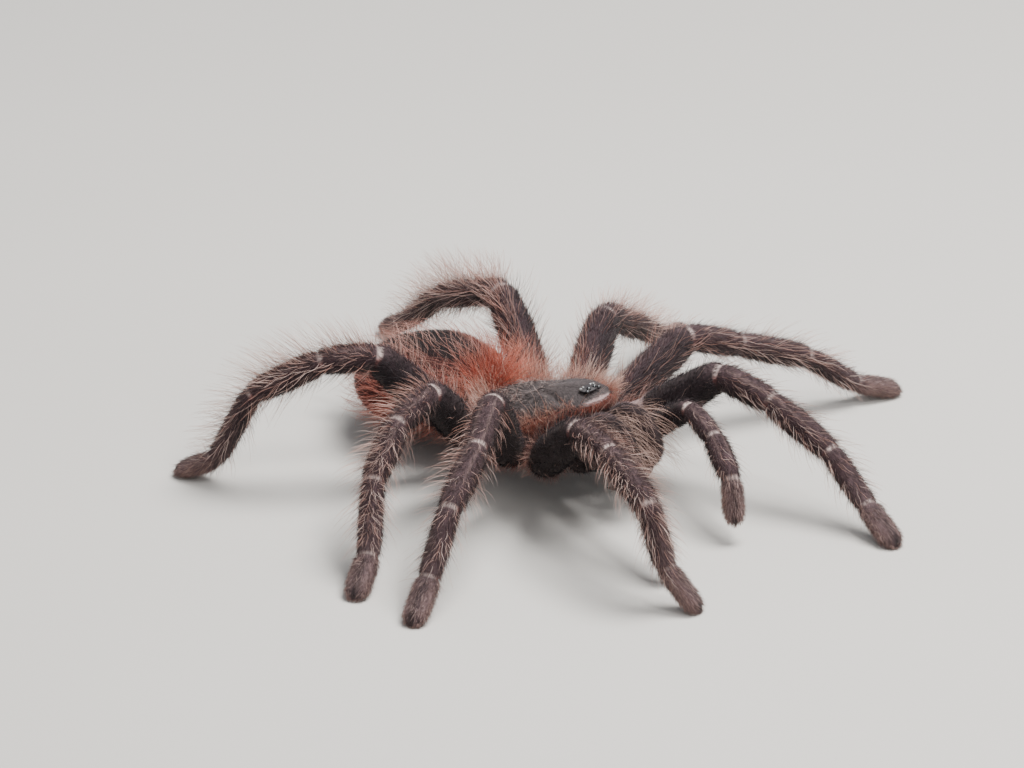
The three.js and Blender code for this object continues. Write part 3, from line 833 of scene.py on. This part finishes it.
fang_gloss = glossy("polished_black_horn", FANG_BLACK, 0.22, 0.6)
for side, sign in (("left", 1), ("right", -1)):
    points = node_points(f"{side}_fang")
    front, back = points[:, 0].max(), points[:, 0].min()
    top, bottom = points[:, 2].max(), points[:, 2].min()
    middle = box_middle(f"{side}_fang")[1]
    share = np.linspace(0, 1, FANG_ROWS)
    swing = share * FANG_SWING
    spots = np.stack([
        back + 0.3 + (front - 0.9 - back) * np.cos(swing),
        np.full(FANG_ROWS, middle),
        top + 0.4 - (top - bottom) * np.sin(swing) * 0.98 + 0.2 * share,
    ], axis=1)
    radius = FANG_RADIUS * (1 - share) ** FANG_SHARPNESS * (1 - 0.1 * share) + 0.03
    fang = shell(tube(f"{side}_fang_horn", spots, share, radius, columns=24))
    fang.data.materials.append(fang_gloss)
    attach(fang, "root")
    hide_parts(f"{side}_fang")

# ======================================================================================
# The coat of the limbs: a dense pile of short, dark hairs that lie towards the foot, and
# among them long, pale, wavy bristles that stand well clear of the outline.
# ======================================================================================
PATCH = 0.003  # size of a hair's patch on the unwrap of the skin
SKIN_REACH = 0.35  # a root further than this from the skin's surface lies inside it
ROOT_SUNK = 0.12  # how deep a hair is set in the skin
HAIR_CLEARANCE = 0.06  # hairs stay this far above the floor
TAPER = 0.55  # below 1 a hair keeps its width further towards its tip
PILE_PER_MM2 = 11.0
FUZZ_PER_MM2 = 1.9
FUZZ_BROWN = linear("#6a524e")
FUZZ_TAN = linear("#96796f")
BRISTLE_PALE = linear("#d5beb3")
BRISTLE_PINK = linear("#a97f71")
TUFT_RED = linear("#a3563f")
FOOT_HAIR = linear("#a58a83")
FOOT_HAIRS = 260
PAD_HAIRS = 900  # in the brush of short hairs along both sides of a foot
PAD_OFFSET, PAD_WIDTH = 0.27, 0.09  # of that brush, in turns from the top of the foot
JOINT_GAP = 1.0  # fewer hairs grow this near a joint, in mm
HIND_LEGS = ("leg_3", "leg_4")
SIDE_RISE = 20  # how many degrees more the bristles along the sides of the front legs stand up
ROOT_RISE = 10  # the same at the root of every limb
KNEE_RED = 0.55  # the redness of the bristles round the knee over that at the root
ROOT_RED = {"palp": 0.1, "leg_1": 0.25, "leg_2": 0.5, "leg_3": 0.55, "leg_4": 0.6}
SHAGGY = {"right_leg_1": 1.7, "left_leg_4": 1.3}  # limbs with more and paler fuzz than the others
BARE_SHARE = {"left_leg_2": 0.35, "left_leg_3": 0.85, "left_leg_4": 0.9}  # 1 on the rest
BRISTLES = {"palp": 110, "leg_1": 360, "leg_2": 430, "leg_3": 640, "leg_4": 900}
BRISTLE_RISE = {"palp": 30, "leg_1": 34, "leg_2": 42, "leg_3": 54, "leg_4": 64}
BRISTLE_LEVEL = {"palp": 0.4, "leg_1": 0.4, "leg_2": 0.45, "leg_3": 0.55, "leg_4": 0.66}
BRISTLE_STRETCH = {"palp": 0.75, "leg_1": 1.05, "leg_2": 1.1, "leg_3": 1.2, "leg_4": 1.35}
# Each pair below is a row of stations along a limb and the value at each of them.
PILE_LENGTH = [0, 1, 2, 3, 5, 6], [1.6, 1.6, 1.35, 1.5, 1.3, 0.9]
FUZZ_LENGTH = [0, 1, 2, 3, 4.5, 5.5], [2.4, 2.4, 2.2, 2.6, 2.4, 1.3]
FUZZ_SHARE = [0, 1, 2, 3, 4, 5, 5.6, 6], [0.9, 0.8, 0.8, 1.2, 1.2, 0.9, 0.5, 0]
BRISTLE_LENGTH = [0, 1, 2, 3.5, 4.5, 5.5], [4.5, 4.5, 4.6, 6, 5, 2]
BRISTLE_SHARE = [0, 1, 1.3, 2, 4, 4.6, 5.1, 5.4, 6], [0.7, 0.8, 0.6, 0.8, 1.2, 1.1, 0.3, 0, 0]


def on_skin(spots):
    """Keeps the roots that lie on the outer skin, not where one form enters another."""
    off = [skin_tree.find_nearest(Vector(root), 2.0)[3] or 0 for root in spots["root"]]
    keep = np.array(off) < SKIN_REACH
    return {key: value[keep] for key, value in spots.items()}


def hair_material(name, rough, sheen):
    """A single hair of horn: lighter towards its tip, with a soft silky shine."""
    material, tree = new_material(name)
    tint = add_node(tree, "ShaderNodeAttribute", {"attribute_name": "Tint"})
    place = add_node(tree, "ShaderNodeTexCoord")
    cloud = add_node(tree, "ShaderNodeTexNoise", {"Scale": 1 / (2.5 * MM), "Detail": 2.0},
                     {"Vector": place.outputs["Object"]})
    shade = add_node(tree, "ShaderNodeMapRange",
                     {"From Min": 0.3, "From Max": 0.7, "To Min": 0.82, "To Max": 1.18},
                     {"Value": cloud.outputs["Fac"]})
    colour = add_node(tree, "ShaderNodeVectorMath", {"operation": "SCALE"},
                      {0: tint.outputs["Color"], "Scale": shade.outputs["Result"]})
    surface = add_node(tree, "ShaderNodeBsdfPrincipled",
                       {"Roughness": rough, "Sheen Weight": sheen, "Sheen Roughness": 0.4,
                        "Specular IOR Level": 0.35},
                       {"Base Color": colour.outputs["Vector"]})
    add_node(tree, "ShaderNodeOutputMaterial", {}, {"Surface": surface.outputs["BSDF"]})
    return material


pile_material = hair_material("short_dark_pile", 0.7, 0.05)
bristle_material = hair_material("long_pale_bristle", 0.5, 0.05)


def grow(name, spots, colour, material, length, width, rise, steps=1, level=0.1,
         wave=0.0, droop=0.0, swirl=0.0, tip=None):
    """Makes one coat piece of closed, tapering, three-sided hairs of `steps` lengths each. A
    hair leaves the skin at `rise` degrees, bends over to `level` degrees, wavers by `wave`,
    sags by `droop` and strays from the lie by `swirl` radians. `tip` is its colour there."""
    count = len(spots["root"])
    normal, lie = spots["normal"], spots["lie"]
    side = np.cross(normal, lie)
    spread = rng.normal(0, 1, count) * swirl
    lie = unit(lie * np.cos(spread)[:, None] + side * np.sin(spread)[:, None])
    side = np.cross(normal, lie)
    length = np.broadcast_to(length, count) * rng.uniform(0.7, 1.2, count)
    width = np.broadcast_to(width, count)
    rise = np.radians(np.broadcast_to(rise, count) * rng.uniform(0.75, 1.25, count))
    level = np.radians(np.broadcast_to(level, count))
    phase = rng.uniform(0, 2 * np.pi, count)
    turns = rng.uniform(0.6, 1.4, count)
    here = spots["root"] - normal * ROOT_SUNK
    path = [here]
    for step in range(steps):
        t = (step + 0.5) / steps
        lean = rise * (1 - t) + level * t
        heading = lie * np.cos(lean)[:, None] + normal * np.sin(lean)[:, None]
        heading = heading + side * (wave * np.cos(phase + 2 * np.pi * turns * t))[:, None]
        heading[:, 2] -= droop * t
        here = here + unit(heading) * (length / steps)[:, None]
        path.append(here)
    path = np.stack(path, axis=1)
    path[..., 2] = np.maximum(path[..., 2], HAIR_CLEARANCE)
    along = unit(np.gradient(path, axis=1))
    across = unit(np.cross(along, normal[:, None] + 1e-4))
    other = np.cross(along, across)
    rings = []
    for step in range(steps):
        t = step / steps
        radius = (width * 0.5 * (1 - t) ** TAPER)[:, None]
        for corner in range(3):
            angle = 2 * np.pi * corner / 3
            turned = np.cos(angle) * across[:, step] + np.sin(angle) * other[:, step]
            rings.append(path[:, step] + radius * turned)
    rings.append(path[:, steps])
    points = np.stack(rings, axis=1)
    each = points.shape[1]
    pattern = [(0, 2, 1)]
    for step in range(steps - 1):
        for corner in range(3):
            a, b = 3 * step + corner, 3 * step + (corner + 1) % 3
            pattern += [(a, b, b + 3), (a, b + 3, a + 3)]
    last = 3 * (steps - 1)
    pattern += [(last + corner, last + (corner + 1) % 3, each - 1) for corner in range(3)]
    pattern = np.array(pattern)
    corners = (np.arange(count)[:, None, None] * each + pattern[None]).reshape(-1)
    mesh = bpy.data.meshes.new(name)
    mesh.vertices.add(count * each)
    mesh.vertices.foreach_set("co", (points * MM).ravel())
    mesh.loops.add(len(corners))
    mesh.loops.foreach_set("vertex_index", corners.astype(np.int32))
    mesh.polygons.add(len(corners) // 3)
    mesh.polygons.foreach_set("loop_start", np.arange(0, len(corners), 3, dtype=np.int32))
    mesh.update(calc_edges=True)
    mesh.polygons.foreach_set("use_smooth", np.ones(len(corners) // 3, bool))
    fade = np.array([k // 3 / steps for k in range(each - 1)] + [1.0])
    end = colour * 1.25 if tip is None else np.broadcast_to(tip, colour.shape)
    tint = mix(colour[:, None], end[:, None], fade[None] ** 1.3)
    layer = mesh.color_attributes.new("Tint", "FLOAT_COLOR", "POINT")
    tint = np.concatenate([tint, np.ones((count, each, 1))], axis=2)
    layer.data.foreach_set("color", tint.ravel())
    root_uv = np.stack([0.01 + 0.98 * spots["u"], 0.01 + 0.98 * spots["v"]], axis=1)
    shift = np.stack([(np.arange(each) % 3 - 1) * PATCH / 2, (fade - 0.5) * PATCH], axis=1)
    uv = (root_uv[:, None] + shift[None]).reshape(-1, 2)
    layer = mesh.uv_layers.new(name="OFBake")
    layer.data.foreach_set("uv", uv[corners].ravel())
    mesh.materials.append(material)
    piece = bpy.data.objects.new(name, mesh)
    bpy.context.scene.collection.objects.link(piece)
    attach(piece, "root")
    return piece


def varied(colour, amount):
    """Gives each hair its own lightness."""
    return colour * rng.lognormal(0, amount, len(colour))[:, None]


def of_one(colour, spots):
    """The same colour for every hair."""
    return np.broadcast_to(colour, spots["root"].shape).copy()


def of_two(first, second, spots, lean=1.0):
    """A random colour between two for each hair. A lean above 1 favours the first."""
    return mix(first, second, rng.random(len(spots["root"])) ** lean)


def pile_tone(form, spots):
    """The skin's colour below each short hair, its painted shade and light included, with a few
    tan ones towards the foot.
    """
    tone = limb_tone(form, spots["station"], spots["turn"])
    tan = rng.random(len(tone)) < 0.07 * smooth_step(1.9, 3.5, spots["station"]) + 0.02
    tone[tan] = mix(tone[tan], FUZZ_TAN, rng.uniform(0.2, 0.6, tan.sum()))
    return varied(tone, 0.22)


def bare_face(form, station, turn):
    """1 on the black velvet faces of a femur, where few long hairs grow."""
    femur = smooth_step(0.95, 1.25, station) * (1 - smooth_step(1.9, 2.1, station))
    if form.limb in FRONT_LIMBS:
        return femur + 0 * turn
    ahead = smooth_step(-0.6, 0.2, forward_side(form, turn))
    return BARE_SHARE.get(form.name, 1) * femur * ahead


for form in limbs:
    area = form.girth * form.length
    spots = on_skin(form.scatter(int(area * PILE_PER_MM2)))
    at = leg_station(form, spots["station"])
    top = topside(spots["turn"])
    short = np.interp(at, *PILE_LENGTH)
    short = short * (1 - 0.5 * joint_ring(form, spots["station"], top))
    short = short * (1 - 0.6 * bare_trochanter(form, spots["station"], top))
    grow(f"{form.name}_pile", spots, pile_tone(form, spots), pile_material,
         length=short, width=0.085, rise=40, steps=1, level=14, swirl=0.18)

    def fuzz_weight(station, turn):
        along = np.interp(leg_station(form, station), *FUZZ_SHARE)
        near_joint = joint_ring(form, station, topside(turn), JOINT_GAP)
        return along * (1 - 0.75 * near_joint) * (1 - 0.4 * bare_face(form, station, turn))

    shaggy = SHAGGY.get(form.name, 1)
    spots = on_skin(form.scatter(int(area * FUZZ_PER_MM2 * shaggy), fuzz_weight))
    at = leg_station(form, spots["station"])
    long = np.interp(at, *FUZZ_LENGTH)
    share = rng.random(len(spots["root"])) ** (1 / shaggy)
    colour = mix(mix(DARK_VELVET, FUZZ_BROWN, share), FUZZ_TAN, 0.8 * share**5)
    bare = bare_face(form, spots["station"], spots["turn"])
    colour = mix(colour, BLACK_VELVET_AND_PAINTED_SHADE, 0.9 * bare)
    long = long * (1 + 0.6 * bare)
    red = ROOT_RED[form.limb] * (1 - smooth_step(0.7, 1.4, spots["station"]))
    colour = varied(mix(colour, TUFT_RED, red), 0.2)
    long = long * BRISTLE_STRETCH[form.limb]
    grow(f"{form.name}_fuzz", spots, colour, bristle_material,
         length=long, width=0.055, rise=52, steps=2, level=30, wave=0.15, swirl=0.25)

    def bristle_weight(station, turn):
        top = topside(turn)
        along = np.interp(leg_station(form, station), *BRISTLE_SHARE)
        if form.limb in HIND_LEGS:
            spread = 0.1 + 0.9 * top**4
        else:
            spread = (0.35 + 0.65 * np.abs(np.sin(2 * np.pi * turn))) * (0.5 + 0.5 * top)
        near_joint = joint_ring(form, station, top, JOINT_GAP)
        bare = bare_face(form, station, turn)
        return along * spread * (1 - 0.6 * near_joint) * (1 - 0.93 * bare)

    spots = on_skin(form.scatter(int(BRISTLES[form.limb] * shaggy), bristle_weight))
    at = leg_station(form, spots["station"])
    top = topside(spots["turn"])
    long = np.interp(at, *BRISTLE_LENGTH)
    share = rng.random(len(spots["root"]))
    near_root = 1 - smooth_step(0.7, 1.5, spots["station"])
    near_knee = KNEE_RED * (1 - smooth_step(2.2, 3.6, at))
    red = ROOT_RED[form.limb] * np.maximum(near_root, near_knee)
    colour = varied(mix(mix(BRISTLE_PINK, BRISTLE_PALE, share**1.5), TUFT_RED, red), 0.15)
    beside = np.abs(np.sin(2 * np.pi * spots["turn"]))
    rise = BRISTLE_RISE[form.limb] * (0.65 + 0.5 * top) + ROOT_RISE * near_root
    if form.limb not in HIND_LEGS:
        rise = rise + SIDE_RISE * beside * smooth_step(2.2, 3.2, at)
    long = long * BRISTLE_STRETCH[form.limb]
    grow(f"{form.name}_bristles", spots, colour, bristle_material,
         length=long, width=0.068, rise=rise, steps=5, level=rise * BRISTLE_LEVEL[form.limb],
         wave=0.2, swirl=0.25)

    def pad_weight(station, turn):
        beside = np.exp(-(((np.abs(turn - 0.5) - PAD_OFFSET) / PAD_WIDTH) ** 2))
        return beside * smooth_step(4.85, 5.15, leg_station(form, station))

    spots = on_skin(form.scatter(PAD_HAIRS, pad_weight))
    colour = varied(of_two(FOOT_SIDE, FUZZ_TAN, spots), 0.15)
    grow(f"{form.name}_pad", spots, colour, pile_material,
         length=1.15, width=0.07, rise=58, steps=2, level=34, swirl=0.15)

    def foot_weight(station, turn):
        at = leg_station(form, station)
        on_top = 0.2 + 0.8 * topside(turn)
        return on_top * smooth_step(4.9, 5.1, at) * (1 - smooth_step(5.7, 5.95, at))

    spots = on_skin(form.scatter(FOOT_HAIRS, foot_weight))
    colour = varied(of_two(FOOT_HAIR, FUZZ_BROWN, spots), 0.2)
    grow(f"{form.name}_foot_hair", spots, colour, bristle_material,
         length=2.0, width=0.055, rise=26, steps=3, level=6, wave=0.15, swirl=0.15)

# ======================================================================================
# The coat of the abdomen: black velvet below long, salmon-red bristles that lean back and
# curl over, brightest near the waist.
# ======================================================================================
ABDOMEN_PILE = 30000
ABDOMEN_BRISTLES = 1900
FRONT_BRUSH = 1200
SPINNERET_PILE = 900
BALD_WIDTH = 0.12  # of the stripe along the back where few bristles grow, in turns
RED_PILE = linear("#a24330")
RED_BRIGHT = linear("#bd503a")
RED_DULL = linear("#a0503f")
RED_PALE = linear("#cf9f90")
BRUSH_TIP = linear("#d68a72")


def bristle_cover(station, turn):
    """Bristles are dense at the front and on the flanks, and thin along the back."""
    back = np.exp(-(((turn - 0.5) / BALD_WIDTH) ** 2)) * smooth_step(0.2, 0.4, station)
    return (1.2 - 0.5 * smooth_step(0.1, 0.5, station)) * (1 - 0.75 * back)


def redness(spots):
    """1 at the front of the abdomen, less along its flanks and 0 on its back."""
    flank = smooth_step(0.04, 0.16, np.abs(spots["turn"] - 0.5))
    front = 1 - smooth_step(0.12, 0.34, spots["station"])
    not_rear = 1 - smooth_step(0.4, 0.9, spots["station"])
    return np.clip(front + 0.8 * flank * not_rear, 0, 1)


def front_cover(station, turn):
    """The brush grows at the very front, over the waist."""
    return 1 - smooth_step(0.1, 0.24, station) + 0 * turn


spots = on_skin(abdomen.scatter(ABDOMEN_PILE))
red = redness(spots) * rng.uniform(0.3, 1, len(spots["root"]))
colour = varied(mix(ABDOMEN_BLACK, RED_PILE, red), 0.3)
grow("abdomen_pile", spots, colour, pile_material,
     length=1.7, width=0.1, rise=42, steps=1, level=14, swirl=0.25)
spots = on_skin(abdomen.scatter(ABDOMEN_BRISTLES, bristle_cover))
share = np.clip(0.9 - redness(spots) * 0.7 + rng.normal(0, 0.16, len(spots["root"])), 0, 1)
colour = mix(RED_BRIGHT, RED_DULL, np.clip(share * 2, 0, 1))
colour = mix(colour, RED_PALE, np.clip(share * 2 - 1, 0, 1))
grow("abdomen_bristles", spots, varied(colour, 0.2), bristle_material,
     length=7.6, width=0.066, rise=46, steps=6, level=-4, wave=0.35, swirl=0.45,
     tip=mix(colour * 1.2, RED_PALE, 0.55))
spots = on_skin(abdomen.scatter(FRONT_BRUSH, front_cover))
colour = varied(of_two(RED_BRIGHT, RED_PILE, spots), 0.2)
grow("abdomen_brush", spots, colour, bristle_material,
     length=7.8, width=0.085, rise=72, steps=5, level=38, wave=0.25, swirl=0.5, tip=BRUSH_TIP)
for form in spinnerets:
    spots = on_skin(form.scatter(SPINNERET_PILE))
    colour = varied(of_one(FUZZ_TAN * 0.4, spots), 0.3)
    grow(f"{form.name}_pile", spots, colour, pile_material,
         length=1.0, width=0.09, rise=35, swirl=0.2)

# ======================================================================================
# The coat of the front body: short grey-brown hairs combed over the plate, a pink-orange
# fringe round its rim, and long pinkish hairs that curl down over the jaws.
# ======================================================================================
PLATE_HAIR = linear("#6b605f")
PLATE_CURL = linear("#b39c92")
PLATE_PILE, PLATE_CURLS = 15000, 520
FRINGE_RED = linear("#864436")
FRINGE_ORANGE = linear("#a86c58")
FRINGE_TAN = linear("#d2ab98")
UPWARD = np.array([0, 0, 1.6])  # turns the hairs of the rim up from its slope
STRAND_TIP = linear("#e2c8b9")
RIM_BROWN = linear("#4f322c")
FELT_HAIRS, FRINGE_HAIRS, STRAND_HAIRS, FRONT_RIM_HAIRS = 3200, 1500, 170, 420
JAW_HAIR = linear("#4e4041")
JAW_BRISTLE = linear("#c8a595")
JAW_PILE, JAW_BRISTLES = 9000, 200
STERNUM_PILE = 5200


def covered(station, turn):
    """Where the plate is hairy: everywhere but on the strip below the eyes."""
    ahead = np.abs(turn - 0.5) > 0.5 - 0.09
    return np.where(ahead & (station > 0.86), 0.0, 1.0)


def curl_cover(station, turn):
    """Curls grow on the rear half of the plate, and more of them towards its rim."""
    return (0.3 + station) * (np.abs(turn - 0.5) < 0.25)


spots = carapace_form.scatter(PLATE_PILE, covered)
colour = varied(of_two(PLATE_HAIR, PLATE_GREY, spots, 0.6), 0.25)
grow("carapace_pile", spots, colour, pile_material,
     length=1.2, width=0.08, rise=22, level=4, swirl=0.35)
spots = carapace_form.scatter(PLATE_CURLS, curl_cover)
colour = varied(of_two(PLATE_CURL, PLATE_HAIR, spots), 0.2)
grow("carapace_curls", spots, colour, bristle_material,
     length=3.4, width=0.05, rise=26, steps=6, level=8, wave=0.7, swirl=1.0)


def fringe_cover(station, turn):
    """The fringe grows all round the rim but not ahead, and thickest at the rear."""
    behind = 1 - np.abs(2 * turn - 1)
    rim = smooth_step(0.9, 0.99, station)
    return rim * smooth_step(0.14, 0.3, behind) * (0.7 + 0.6 * behind)


spots = carapace_form.scatter(FELT_HAIRS, fringe_cover)
colour = varied(of_two(FRINGE_RED, FRINGE_ORANGE, spots, 2), 0.2)
grow("carapace_felt", spots, colour, bristle_material,
     length=2.8, width=0.07, rise=52, steps=3, level=10, wave=0.3, swirl=0.6)
spots = carapace_form.scatter(FRINGE_HAIRS, fringe_cover)
spots["normal"] = unit(spots["normal"] + UPWARD)
colour = varied(of_two(FRINGE_RED, FRINGE_ORANGE, spots), 0.15)
long = 3.4 + 2.6 * (1 - np.abs(2 * spots["turn"] - 1))
grow("carapace_fringe", spots, colour, bristle_material,
     length=long, width=0.062, rise=78, steps=5, level=50, wave=0.35, swirl=0.7, tip=FRINGE_TAN)
spots = carapace_form.scatter(STRAND_HAIRS, fringe_cover)
spots["normal"] = unit(spots["normal"] + UPWARD)
colour = varied(of_two(FRINGE_ORANGE, FRINGE_TAN, spots), 0.15)
grow("carapace_strands", spots, colour, bristle_material,
     length=7.0, width=0.095, rise=84, steps=6, level=72, wave=0.3, swirl=0.9, tip=STRAND_TIP)


def front_rim(station, turn):
    """The front edge of the plate, below the bare strip."""
    return smooth_step(0.95, 0.99, station) * smooth_step(0.34, 0.4, np.abs(turn - 0.5))


spots = carapace_form.scatter(FRONT_RIM_HAIRS, front_rim)
colour = varied(of_two(RIM_BROWN, FRINGE_RED, spots), 0.2)
grow("clypeus_fringe", spots, colour, bristle_material,
     length=2.4, width=0.07, rise=8, steps=3, level=0, wave=0.2, swirl=0.5, droop=1.6)


def jaw_cover(station, turn):
    """Long bristles grow mostly on the top of a jaw."""
    return 0.3 + smooth_step(0.1, 0.9, topside(turn)) + 0 * station


for form in chelicerae:
    spots = on_skin(form.scatter(JAW_PILE))
    colour = varied(of_two(JAW_HAIR, JAW_BROWN, spots, 0.6), 0.25)
    spots["lie"] = -spots["lie"]
    grow(f"{form.name}_pile", spots, colour, pile_material,
         length=1.5, width=0.085, rise=34, level=8, swirl=0.25)
    spots = on_skin(form.scatter(JAW_BRISTLES, jaw_cover))
    spots["lie"] = -spots["lie"]
    share = 0.3 + 0.5 * rng.random(len(spots["root"]))
    colour = varied(mix(JAW_HAIR, JAW_BRISTLE, share), 0.15)
    grow(f"{form.name}_bristles", spots, colour, bristle_material,
         length=7.6, width=0.07, rise=42, steps=6, level=14, wave=0.22, swirl=0.35, droop=0.5,
         tip=JAW_BRISTLE)
spots = on_skin(sternum.scatter(STERNUM_PILE))
colour = varied(of_one(STERNUM_BLACK, spots), 0.3)
grow("sternum_pile", spots, colour, pile_material,
     length=1.4, width=0.1, rise=35, swirl=0.3)

# ======================================================================================
# The studio: a plain pale floor, a soft light overhead, a weak one from the side and a
# small one that glints in the eyes, and a camera ahead of the spider and to its right.
# ======================================================================================
FLOOR_GREY = linear("#c9c4bd")
FLOOR_REACH = 3
AIR_COLOUR, AIR_STRENGTH = (0.86, 0.92, 1.0, 1), 0.46
CAMERA_AZIMUTH = math.radians(41.6)
CAMERA_ELEVATION = math.radians(23.5)
CAMERA_DISTANCE = 1080
CAMERA_LENS = 210.9
AIM = body_middle + np.array([-9.6, 0.65, 15.8])

floor_mesh = bpy.data.meshes.new("studio_floor")
floor_corners = [(-1, -1), (1, -1), (1, 1), (-1, 1)]
floor_points = [(FLOOR_REACH * x, FLOOR_REACH * y, 0) for x, y in floor_corners]
floor_mesh.from_pydata(floor_points, [], [(0, 1, 2, 3)])
floor = bpy.data.objects.new("studio_floor", floor_mesh)
bpy.context.scene.collection.objects.link(floor)
material, tree = new_material("matte_paper_floor")
place = add_node(tree, "ShaderNodeTexCoord")
mottle = add_node(tree, "ShaderNodeTexNoise", {"Scale": 9.0, "Detail": 2.0},
                  {"Vector": place.outputs["Object"]})
tone = add_node(tree, "ShaderNodeMix", {"data_type": "RGBA"})
tree.links.new(mottle.outputs["Fac"], tone.inputs[0])
tone.inputs[6].default_value = (*FLOOR_GREY * 0.96, 1)
tone.inputs[7].default_value = (*FLOOR_GREY * 1.03, 1)
surface = add_node(tree, "ShaderNodeBsdfPrincipled", {"Roughness": 0.9},
                   {"Base Color": tone.outputs[2]})
add_node(tree, "ShaderNodeOutputMaterial", {}, {"Surface": surface.outputs["BSDF"]})
floor_mesh.materials.append(material)

world = bpy.data.worlds.new("studio_air")
world.use_nodes = True
world.node_tree.nodes["Background"].inputs["Color"].default_value = AIR_COLOUR
world.node_tree.nodes["Background"].inputs["Strength"].default_value = AIR_STRENGTH
bpy.context.scene.world = world


def soft_light(name, place, target, size, power):
    data = bpy.data.lights.new(name, "AREA")
    data.shape = "DISK"
    data.size = size
    data.energy = power
    lamp = bpy.data.objects.new(name, data)
    lamp.location = place
    lamp.rotation_mode = "QUATERNION"
    lamp.rotation_quaternion = (Vector(target) - Vector(place)).to_track_quat("-Z", "Y")
    bpy.context.scene.collection.objects.link(lamp)


soft_light("overhead", (0.12, 0.18, 0.7), (0, 0, 0), size=0.4, power=11)
soft_light("side_fill", (0.55, -0.35, 0.4), (0, 0, 0.01), size=0.3, power=1.6)
soft_light("glint", (0.42, -0.1, 0.6), (0, 0, 0.01), size=0.12, power=2.2)

back = np.array([
    math.sin(CAMERA_AZIMUTH) * math.cos(CAMERA_ELEVATION),
    -math.cos(CAMERA_AZIMUTH) * math.cos(CAMERA_ELEVATION),
    math.sin(CAMERA_ELEVATION),
])
camera_data = bpy.data.cameras.new("camera")
camera_data.lens = CAMERA_LENS
camera_data.clip_start = 0.05
camera_data.clip_end = 20
camera = bpy.data.objects.new("camera", camera_data)
camera.location = (AIM + back * CAMERA_DISTANCE) * MM
camera.rotation_mode = "QUATERNION"
camera.rotation_quaternion = Vector(-back).to_track_quat("-Z", "Y")
bpy.context.scene.collection.objects.link(camera)
bpy.context.scene.camera = camera
